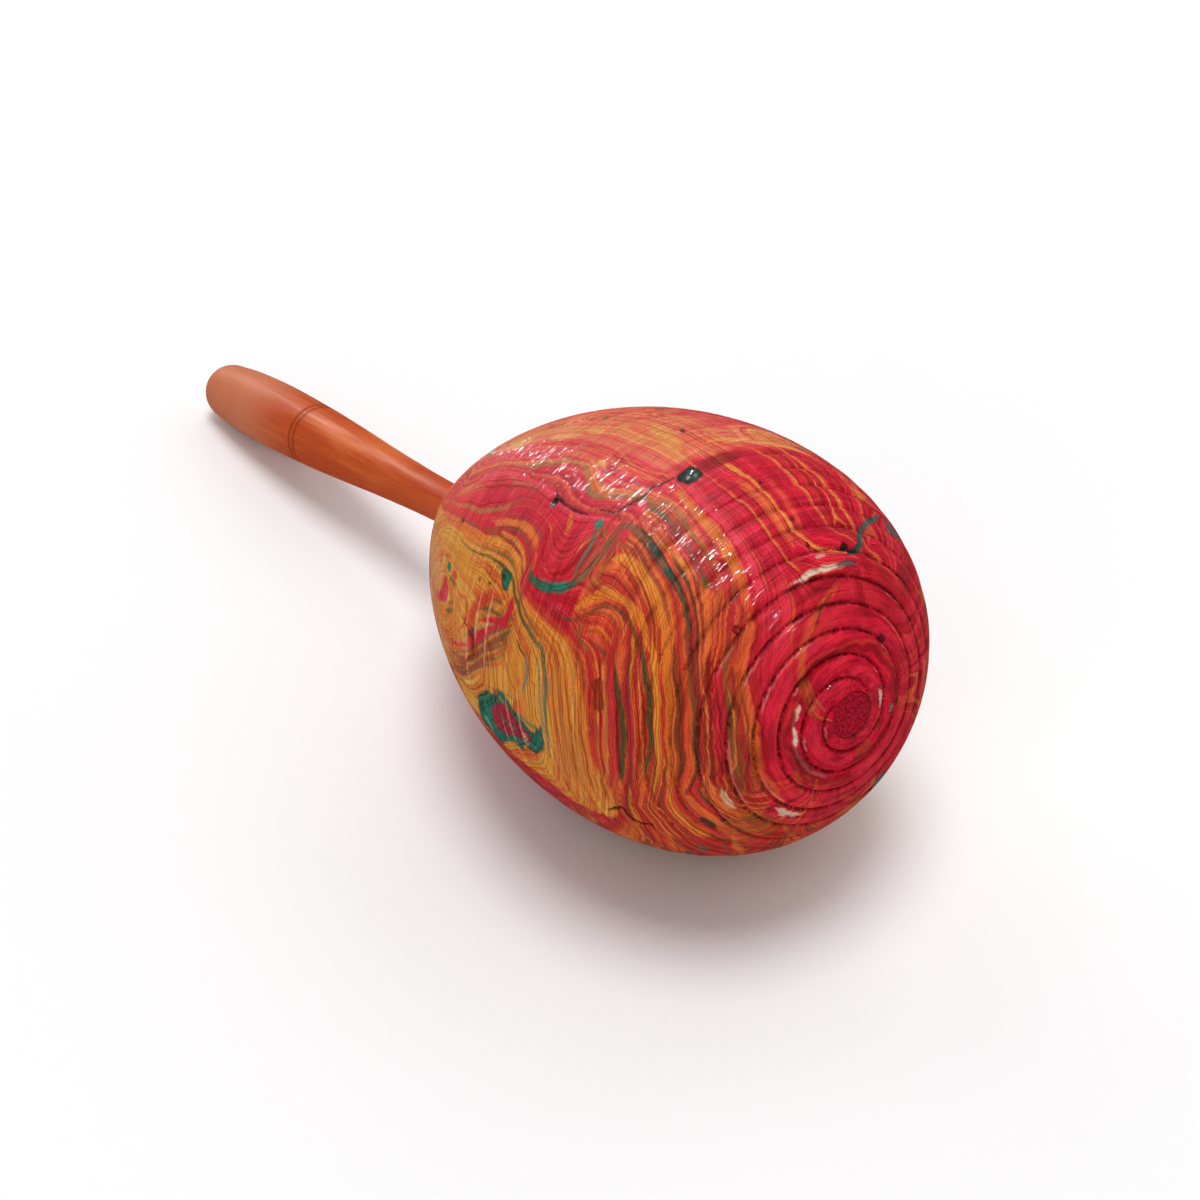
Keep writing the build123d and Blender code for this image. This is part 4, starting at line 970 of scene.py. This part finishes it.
# ---------------------------------------------------------------- materials
class Nodes:
    """A short way to write a node tree."""

    def __init__(self, name):
        self.mat = bpy.data.materials.new(name)
        self.mat.use_nodes = True
        self.t = self.mat.node_tree
        self.t.nodes.clear()
        self.out = self.add("ShaderNodeOutputMaterial")
        self.bsdf = self.add("ShaderNodeBsdfPrincipled")
        self.link(self.bsdf.outputs["BSDF"], self.out.inputs["Surface"])

    def add(self, kind, **props):
        n = self.t.nodes.new(kind)
        for k, v in props.items():
            setattr(n, k, v)
        return n

    def link(self, a, b):
        self.t.links.new(a, b)
        return b

    def feed(self, socket, value):
        if isinstance(value, (int, float)):
            socket.default_value = value
        elif isinstance(value, (tuple, list)):
            socket.default_value = tuple(value) if len(value) != 3 or socket.type == "VECTOR" else (*value, 1)
        else:
            self.link(value, socket)

    def attr(self, name):
        return self.add("ShaderNodeAttribute", attribute_name=name, attribute_type="GEOMETRY")

    def math(self, op, a, b=0.0, c=0.0, clamp=False):
        n = self.add("ShaderNodeMath", operation=op, use_clamp=clamp)
        for i, v in enumerate((a, b, c)):
            self.feed(n.inputs[i], v)
        return n.outputs[0]

    def vmul(self, v, scale):
        n = self.add("ShaderNodeVectorMath", operation="MULTIPLY")
        self.feed(n.inputs[0], v)
        n.inputs[1].default_value = scale
        return n.outputs[0]

    def xyz(self, x, y, z):
        n = self.add("ShaderNodeCombineXYZ")
        for i, v in enumerate((x, y, z)):
            self.feed(n.inputs[i], v)
        return n.outputs[0]

    def split(self, v):
        n = self.add("ShaderNodeSeparateXYZ")
        self.link(v, n.inputs[0])
        return n.outputs

    def noise(self, vec, scale=1.0, detail=2.0, rough=0.5):
        n = self.add("ShaderNodeTexNoise")
        if vec is not None:
            self.link(vec, n.inputs["Vector"])
        n.inputs["Scale"].default_value = scale
        n.inputs["Detail"].default_value = detail
        n.inputs["Roughness"].default_value = rough
        return n.outputs["Fac"]

    def ramp(self, fac, *stops):
        n = self.add("ShaderNodeMapRange", interpolation_type="SMOOTHSTEP")
        self.feed(n.inputs["Value"], fac)
        a, b, c, d = stops
        n.inputs["From Min"].default_value = a
        n.inputs["From Max"].default_value = b
        n.inputs["To Min"].default_value = c
        n.inputs["To Max"].default_value = d
        return n.outputs["Result"]

    def mix(self, fac, a, b, blend="MIX"):
        n = self.add("ShaderNodeMix", data_type="RGBA", blend_type=blend)
        n.clamp_factor = True
        self.feed(n.inputs[0], fac)
        self.feed(n.inputs[6], a)
        self.feed(n.inputs[7], b)
        return n.outputs[2]

    def colour(self, h):
        return tuple(float(v) for v in to_linear(rgb(h)))

    def set(self, **kw):
        for k, v in kw.items():
            self.feed(self.bsdf.inputs[k.replace("_", " ")], v)

    def axis_coords(self):
        """Object coordinates turned onto the lathe: along the axis, up and across, in mm."""
        co = self.add("ShaderNodeTexCoord").outputs["Object"]
        outs = []
        for d in (ALONG, UPWARD, SIDE):
            n = self.add("ShaderNodeVectorMath", operation="DOT_PRODUCT")
            self.link(co, n.inputs[0])
            n.inputs[1].default_value = tuple(float(v) * 1000 for v in d)
            off = float(np.dot(NOSE, d))
            outs.append(self.math("SUBTRACT", n.outputs["Value"], off))
        return outs


def head_material():
    m = Nodes("marbled_head")
    base = m.attr("paint").outputs["Color"]
    lay = m.attr("layer").outputs["Vector"]
    groove = m.attr("groove").outputs["Fac"]
    on = m.attr("painted").outputs["Fac"]
    lx, sx, _ = m.split(lay)
    co = m.vmul(m.add("ShaderNodeTexCoord").outputs["Object"], (1000, 1000, 1000))
    # hair-fine layer lines between the drawn ones
    on2 = m.math("MULTIPLY", on, m.ramp(sx, 14.0, 30.0, 0, 1))
    fine = m.noise(m.xyz(m.math("MULTIPLY", lx, 2.6), 0.0, 0.0), 1.0, 3.0, 0.62)
    fine2 = m.noise(m.xyz(m.math("MULTIPLY", lx, 6.5), 3.0, 0.0), 1.0, 2.0, 0.6)
    c = m.mix(m.math("MULTIPLY", m.ramp(fine, 0.50, 0.58, 0, 0.8), on2), base, m.mix(1.0, base, m.colour("#c98a50"), "MULTIPLY"))
    c = m.mix(m.math("MULTIPLY", m.ramp(fine, 0.42, 0.32, 0, 0.6), on2), c, m.mix(0.35, base, m.colour("#e79a48")))
    c = m.mix(m.math("MULTIPLY", m.ramp(fine2, 0.56, 0.64, 0, 0.7), on2), c, m.mix(1.0, c, m.colour("#a08068"), "MULTIPLY"))
    # short streaks left by the tool round the axis
    tool = m.noise(m.xyz(m.math("MULTIPLY", sx, 5.2), m.noise(m.vmul(co, (0.16, 0.16, 0.16)), 1.0, 1.0), 0.0), 1.0, 2.0, 0.7)
    band = m.noise(m.xyz(m.math("MULTIPLY", sx, 1.25), m.noise(m.vmul(co, (0.05, 0.05, 0.05)), 1.0, 1.0), 7.0), 1.0, 3.0, 0.72)
    nick = m.noise(m.vmul(co, (1.3, 1.3, 1.3)), 1.0, 4.0, 0.7)
    grain = m.noise(m.vmul(co, (0.9, 2.6, 2.6)), 1.0, 3.0, 0.65)
    c = m.mix(m.math("MULTIPLY", m.ramp(tool, 0.50, 0.66, 0, 0.42), on), c, m.mix(1.0, c, (0.55, 0.42, 0.40), "MULTIPLY"))
    c = m.mix(m.math("MULTIPLY", m.ramp(band, 0.52, 0.66, 0, 0.40), on), c, m.mix(1.0, c, (0.60, 0.48, 0.45), "MULTIPLY"))
    c = m.mix(m.math("MULTIPLY", m.ramp(band, 0.44, 0.30, 0, 0.30), on), c, m.mix(1.0, c, (1.35, 1.25, 1.2), "MULTIPLY"))
    c = m.mix(m.ramp(grain, 0.56, 0.72, 0, 0.32), c, m.mix(1.0, c, (0.50, 0.42, 0.40), "MULTIPLY"))
    c = m.mix(m.ramp(grain, 0.42, 0.30, 0, 0.22), c, m.mix(0.4, c, m.colour("#d98a62")))
    # torn fibre in the grooves
    torn = m.math("MULTIPLY", groove, m.ramp(nick, 0.47, 0.58, 0, 0.8))
    c = m.mix(torn, c, m.mix(1.0, c, (0.22, 0.13, 0.13), "MULTIPLY"))
    # open pores
    pore = m.noise(m.vmul(co, (3.2, 3.2, 3.2)), 1.0, 2.0, 0.6)
    c = m.mix(m.math("MULTIPLY", m.ramp(pore, 0.66, 0.72, 0, 0.75), on), c, m.mix(1.0, c, (0.25, 0.18, 0.16), "MULTIPLY"))
    m.link(c, m.bsdf.inputs["Base Color"])
    rough = m.math("ADD", m.ramp(m.noise(m.vmul(co, (0.5, 0.5, 0.5)), 1.0, 3.0, 0.6), 0.3, 0.7, 0.36, 0.52),
                   m.math("MULTIPLY", groove, 0.25))
    m.link(m.mix(on, (0.7, 0.7, 0.7), m.mix(1.0, (0, 0, 0), rough)), m.bsdf.inputs["Roughness"])
    bump1 = m.add("ShaderNodeBump")
    bump1.inputs["Strength"].default_value = 0.9
    bump1.inputs["Distance"].default_value = 0.00030
    m.link(m.math("ADD", m.math("ADD", tool, m.math("MULTIPLY", nick, 0.6)), m.math("MULTIPLY", band, 1.6)), bump1.inputs["Height"])
    bump2 = m.add("ShaderNodeBump")
    bump2.inputs["Strength"].default_value = 0.5
    bump2.inputs["Distance"].default_value = 0.00012
    m.link(grain, bump2.inputs["Height"])
    m.link(bump1.outputs["Normal"], bump2.inputs["Normal"])
    bump3 = m.add("ShaderNodeBump", invert=True)
    bump3.inputs["Strength"].default_value = 0.5
    bump3.inputs["Distance"].default_value = 0.0002
    m.link(m.ramp(pore, 0.62, 0.74, 0, 1), bump3.inputs["Height"])
    m.link(bump2.outputs["Normal"], bump3.inputs["Normal"])
    m.link(bump3.outputs["Normal"], m.bsdf.inputs["Normal"])
    # the varnish follows the tool lines, and has gone dull except in broken streaks
    au, av, aw = m.axis_coords()
    across = m.math("MULTIPLY", av, 0.12), m.math("MULTIPLY", aw, 0.12)
    sleek = m.noise(m.xyz(m.math("MULTIPLY", sx, 2.0), *across), 1.0, 2.0, 0.6)
    sleek2 = m.noise(m.xyz(m.math("MULTIPLY", sx, 3.2), m.math("MULTIPLY", av, 0.30), m.math("MULTIPLY", aw, 0.30)), 1.0, 2.0, 0.6)
    bump4 = m.add("ShaderNodeBump")
    bump4.inputs["Strength"].default_value = 1.0
    bump4.inputs["Distance"].default_value = 0.0006
    m.link(sleek, bump4.inputs["Height"])
    m.link(bump4.outputs["Normal"], m.bsdf.inputs["Coat Normal"])
    m.link(m.math("MULTIPLY", m.ramp(sleek2, 0.585, 0.62, 0, 1), m.ramp(m.noise(m.vmul(co, (0.11, 0.11, 0.11)), 1.0, 2.0), 0.34, 0.58, 0.05, 1)), m.bsdf.inputs["Coat Weight"])
    m.bsdf.inputs["Specular Tint"].default_value = (1.0, 0.66, 0.62, 1)
    m.bsdf.inputs["Coat Roughness"].default_value = 0.07
    m.bsdf.inputs["Specular IOR Level"].default_value = 0.05
    return m.mat


def handle_material():
    m = Nodes("stained_handle")
    u, v, w = m.axis_coords()
    p = m.xyz(m.math("MULTIPLY", u, 0.045), v, w)
    big = m.noise(m.xyz(m.math("MULTIPLY", u, 0.02), m.math("MULTIPLY", v, 0.13), m.math("MULTIPLY", w, 0.13)), 1.0, 2.0, 0.5)
    grain = m.noise(p, 0.9, 4.0, 0.62)
    fine = m.noise(m.xyz(m.math("MULTIPLY", u, 0.10), m.math("MULTIPLY", v, 2.4), m.math("MULTIPLY", w, 2.4)), 1.0, 3.0, 0.6)
    c = m.mix(m.ramp(big, 0.35, 0.65, 0, 1), m.colour("#b94a20"), m.colour("#c96030"))
    c = m.mix(m.ramp(grain, 0.45, 0.62, 0, 0.5), c, m.colour("#a83c1e"))
    c = m.mix(m.ramp(grain, 0.40, 0.28, 0, 0.5), c, m.colour("#d4753c"))
    c = m.mix(m.ramp(fine, 0.55, 0.70, 0, 0.3), c, m.colour("#93351c"))
    c = m.mix(m.ramp(u, 200, 226, 0, 0.65), c, m.colour("#cc8060"))
    c = m.mix(m.math("MULTIPLY", m.ramp(big, 0.52, 0.66, 0, 0.7), m.ramp(u, 200, 190, 0, 1)), c, m.colour("#d8743a"))
    # redder near the head, where the stain of the head has run onto it
    c = m.mix(m.ramp(u, 174, 136, 0, 0.55), c, m.mix(m.ramp(big, 0.42, 0.56, 0, 1), m.colour("#c65a30"), m.colour("#a02a12")))
    # dirt in the two cut lines
    for centre in (197.6, 199.5):
        d = m.math("ABSOLUTE", m.math("SUBTRACT", u, centre))
        c = m.mix(m.ramp(d, 0.9, 0.15, 0, 0.5), c, m.colour("#7a3018"))
    # raw, paler wood inside the head
    inside = m.ramp(u, 131.5, 129.5, 0, 1)
    raw = m.mix(m.ramp(grain, 0.35, 0.65, 0, 1), m.colour("#c9a273"), m.colour("#b0875a"))
    c = m.mix(inside, c, raw)
    # end grain at the nose: stained, with open vessels
    nose = m.ramp(u, 1.6, 0.9, 0, 1)
    end = m.noise(m.xyz(0.0, m.math("MULTIPLY", v, 1.9), m.math("MULTIPLY", w, 1.9)), 1.0, 3.0, 0.7)
    end_c = m.mix(m.ramp(end, 0.42, 0.58, 0, 1), m.colour("#8c0c1c"), m.colour("#b81c34"))
    vor = m.add("ShaderNodeTexVoronoi")
    m.link(m.xyz(0.0, v, w), vor.inputs["Vector"])
    vor.inputs["Scale"].default_value = 1.5
    end_c = m.mix(m.ramp(vor.outputs["Distance"], 0.36, 0.14, 0, 0.9), end_c, m.colour("#34080e"))
    end_c = m.mix(m.ramp(end, 0.66, 0.74, 0, 0.35), end_c, m.colour("#c06a68"))
    c = m.mix(nose, c, end_c)
    m.link(c, m.bsdf.inputs["Base Color"])
    rough = m.ramp(grain, 0.3, 0.7, 0.40, 0.54)
    m.link(m.mix(inside, m.mix(1.0, (0, 0, 0), rough), (0.7, 0.7, 0.7)), m.bsdf.inputs["Roughness"])
    b = m.add("ShaderNodeBump")
    b.inputs["Strength"].default_value = 0.35
    b.inputs["Distance"].default_value = 0.0001
    m.link(m.math("ADD", fine, grain), b.inputs["Height"])
    b2 = m.add("ShaderNodeBump")
    b2.inputs["Strength"].default_value = 0.6
    b2.inputs["Distance"].default_value = 0.0003
    m.link(m.math("MULTIPLY", vor.outputs["Distance"], nose), b2.inputs["Height"])
    m.link(b.outputs["Normal"], b2.inputs["Normal"])
    m.link(b2.outputs["Normal"], m.bsdf.inputs["Normal"])
    m.bsdf.inputs["Specular Tint"].default_value = (1.0, 0.7, 0.62, 1)
    m.bsdf.inputs["Specular IOR Level"].default_value = 0.03
    m.bsdf.inputs["Coat Weight"].default_value = 0.0
    return m.mat


def seed_material():
    m = Nodes("dried_seed")
    co = m.vmul(m.add("ShaderNodeTexCoord").outputs["Object"], (1000, 1000, 1000))
    n1 = m.noise(co, 0.35, 2.0, 0.5)
    n2 = m.noise(co, 1.6, 3.0, 0.6)
    c = m.mix(m.ramp(n1, 0.35, 0.65, 0, 1), m.colour("#7a5a36"), m.colour("#a08050"))
    c = m.mix(m.ramp(n2, 0.55, 0.70, 0, 0.7), c, m.colour("#4c3420"))
    c = m.mix(m.ramp(n2, 0.40, 0.30, 0, 0.5), c, m.colour("#c0a070"))
    m.link(c, m.bsdf.inputs["Base Color"])
    m.link(m.ramp(n2, 0.3, 0.7, 0.4, 0.62), m.bsdf.inputs["Roughness"])
    b = m.add("ShaderNodeBump")
    b.inputs["Strength"].default_value = 0.4
    b.inputs["Distance"].default_value = 0.00015
    m.link(n2, b.inputs["Height"])
    m.link(b.outputs["Normal"], m.bsdf.inputs["Normal"])
    return m.mat


HEAD_MAT = head_material()
HANDLE_MAT = handle_material()
SEED_MAT = seed_material()

# -------------------------------------------------------------- head halves
def along_points(points, step):
    """Extra points along straight runs, so the inner surfaces stay even."""
    out = [points[0]]
    for a, b in zip(points[:-1], points[1:]):
        n = max(1, int(math.hypot(b[0] - a[0], b[1] - a[1]) / step))
        out += [(a[0] + (b[0] - a[0]) * k / n, a[1] + (b[1] - a[1]) * k / n) for k in range(1, n + 1)]
    return out


cavity_front = [(c[0], c[1]) for c in curve([(61, 37.2), (50, 37.88), (40, 37.3), (30, 35), (20, 30), (13, 22.3), (9, 14)], 5)]
front_inner = along_points([(55, 40.2), (61, 40.2)], 3) + cavity_front + along_points([(9, 13), (9, 4.77)], 4) + along_points([(6, 4.77), (0.55, 4.77)], 2.5)
cavity_rear = [(c[0], c[1]) for c in curve([(120, 9.6), (110, 17), (100, 23.4), (90, 28.6), (80, 32.6), (70, 35.5), (61.02, 37.2)], 5)]
rear_inner = (along_points([(132.6, 4.9), (132.5, 4.77), (120, 4.77)], 4) + [(120, 7.2)] + cavity_rear
              + along_points([(61.02, 38.7), (61.02, 40.22), (55.02, 40.22)], 3))

front = head_half("head_front", S_START, S_SEAM, front_inner, "maraca", ["head_front_shell"], HEAD_MAT)
rear = head_half("head_rear", S_SEAM + 0.02, S_END, rear_inner, "maraca", ["head_rear_shell"], HEAD_MAT)

# ------------------------------------------------------------------- handle
_hp = curve([(130.0, 4.75), (133.8, 4.75), (141, 4.86), (150.2, 5.12), (165.7, 5.86), (181.1, 6.82), (196.6, 7.64), (212, 8.13),
             (220, 8.24), (228, 8.13), (236, 7.76), (242.88, 7.12)], 60)
hu = np.arange(130.0, 242.88, 0.22)
hr = np.interp(hu, _hp[:, 0], _hp[:, 1])
for centre in (197.6, 199.5):
    hr = hr - 0.28 * np.clip(1 - np.abs(hu - centre) / 0.45, 0, 1)
ang = np.linspace(0, math.pi / 2, 26)[:-1]
grip = [(130.0, 0.0), (130.0, 2.4)] + list(zip(hu, hr)) + [(242.88 + 7.12 * math.sin(a), 7.12 * math.cos(a)) for a in ang] + [(250.0, 0.0)]
turned("handle_grip", grip, 128, "maraca", ["handle"], HANDLE_MAT)
rod_f = [(0.35, 0.0), (0.35, 1.2), (0.35, 2.4), (0.35, 3.6), (0.35, 4.5), (0.42, 4.68), (0.6, 4.75)] + [(u, 4.75) for u in np.linspace(2, 66, 33)] + [(66, 2.4), (66, 0.0)]
turned("handle_rod_front", rod_f, 96, "maraca", ["handle"], HANDLE_MAT)
rod_r = [(66.0, 0.0), (66.0, 2.4)] + [(u, 4.75) for u in np.linspace(66, 130, 33)] + [(130, 2.4), (130, 0.0)]
turned("handle_rod_rear", rod_r, 96, "maraca", ["handle"], HANDLE_MAT)

for name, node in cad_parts.items():
    if name.startswith("seed_"):
        node.data.materials.clear()
        node.data.materials.append(SEED_MAT)
    else:
        node.data.materials.clear()
        node.data.materials.append(HEAD_MAT if name.startswith("head") else HANDLE_MAT)

# ------------------------------------------------------------------- camera
cam_data = bpy.data.cameras.new("camera")
cam_data.lens = 72.0
cam_data.sensor_width = 36.0
cam_data.sensor_fit = "HORIZONTAL"
cam = bpy.data.objects.new("camera", cam_data)
bpy.context.scene.collection.objects.link(cam)
right = Vector((0.596769, 0.802413, 0.0))
up = Vector((-0.472691, 0.351549, 0.80807))
back = Vector((0.648406, -0.482231, 0.589087))
rot = Matrix((right, up, back)).transposed()
cam.matrix_world = Matrix.Translation(Vector((0.37205165, -0.24399249, 0.33182828))) @ rot.to_4x4()
bpy.context.scene.camera = cam

# -------------------------------------------------------------------- stage
floor_me = bpy.data.meshes.new("floor")
floor_me.from_pydata([(-6, -6, 0), (6, -6, 0), (6, 6, 0), (-6, 6, 0)], [], [(0, 1, 2, 3)])
floor = bpy.data.objects.new("floor", floor_me)
bpy.context.scene.collection.objects.link(floor)
fm = Nodes("floor")
fm.bsdf.inputs["Base Color"].default_value = (0.88, 0.88, 0.885, 1)
fm.bsdf.inputs["Roughness"].default_value = 0.8
fm.bsdf.inputs["Specular IOR Level"].default_value = 0.0
floor_me.materials.append(fm.mat)

world = bpy.data.worlds.new("studio")
bpy.context.scene.world = world
world.use_nodes = True
bg = world.node_tree.nodes["Background"]
bg.inputs["Color"].default_value = (1.0, 1.0, 1.0, 1)
bg.inputs["Strength"].default_value = 0.13
# the backdrop beyond the floor is white, without lighting the scene
wt = world.node_tree
backdrop = wt.nodes.new("ShaderNodeBackground")
backdrop.inputs["Color"].default_value = (1.0, 1.0, 1.0, 1)
backdrop.inputs["Strength"].default_value = 1.0
seen = wt.nodes.new("ShaderNodeLightPath")
pick = wt.nodes.new("ShaderNodeMixShader")
wt.links.new(seen.outputs["Is Camera Ray"], pick.inputs["Fac"])
wt.links.new(bg.outputs["Background"], pick.inputs[1])
wt.links.new(backdrop.outputs["Background"], pick.inputs[2])
wt.links.new(pick.outputs["Shader"], wt.nodes["World Output"].inputs["Surface"])


def area(name, loc, target, size, power, colour=(1, 1, 1)):
    d = bpy.data.lights.new(name, "AREA")
    d.shape = "RECTANGLE"
    d.size, d.size_y = size
    d.energy = power
    d.color = colour
    o = bpy.data.objects.new(name, d)
    bpy.context.scene.collection.objects.link(o)
    o.location = loc
    o.rotation_euler = (Vector(target) - Vector(loc)).to_track_quat("-Z", "Y").to_euler()
    return o


# a light tent: a soft panel overhead and paler panels round the table
for name, elevation, azimuth, share in (
        ("overhead", 90, 0, 0.50), ("wall_a", 35, 120, 0.15), ("wall_b", 35, 180, 0.15), ("wall_c", 35, 300, 0.21),
        ("wall_d", 35, 60, 0.10), ("high_a", 62, 110, 0.10), ("high_b", 60, 310, 0.09)):
    sun = bpy.data.lights.new(name, "SUN")
    sun.energy = share * math.pi
    sun.angle = math.radians(30 if name == "overhead" else 45)
    sun_ob = bpy.data.objects.new(name, sun)
    bpy.context.scene.collection.objects.link(sun_ob)
    sun_ob.visible_glossy = name == "high_a"     # only one upper panel shows in the varnish
    e, a = math.radians(elevation), math.radians(azimuth)
    sun_ob.rotation_euler = Vector((-math.cos(e) * math.cos(a), -math.cos(e) * math.sin(a), -math.sin(e))).to_track_quat("-Z", "Y").to_euler()

# three bright strips high behind the head that only show as sparkle in the varnish
for name, energy, toward in (("glint_high", 5.4, (0.52, 0.05, -0.85)), ("glint_low", 4.4, (0.85, -0.08, -0.52)),
                             ("glint_top", 5.0, (0.2, 0.2, -0.96))):
    glint = bpy.data.lights.new(name, "SUN")
    glint.energy = energy
    glint.angle = math.radians(14)
    glint_ob = bpy.data.objects.new(name, glint)
    bpy.context.scene.collection.objects.link(glint_ob)
    glint_ob.visible_diffuse = False
    glint_ob.rotation_euler = Vector(toward).to_track_quat("-Z", "Y").to_euler()
floor.visible_glossy = False

bpy.context.scene.view_settings.view_transform = "Standard"
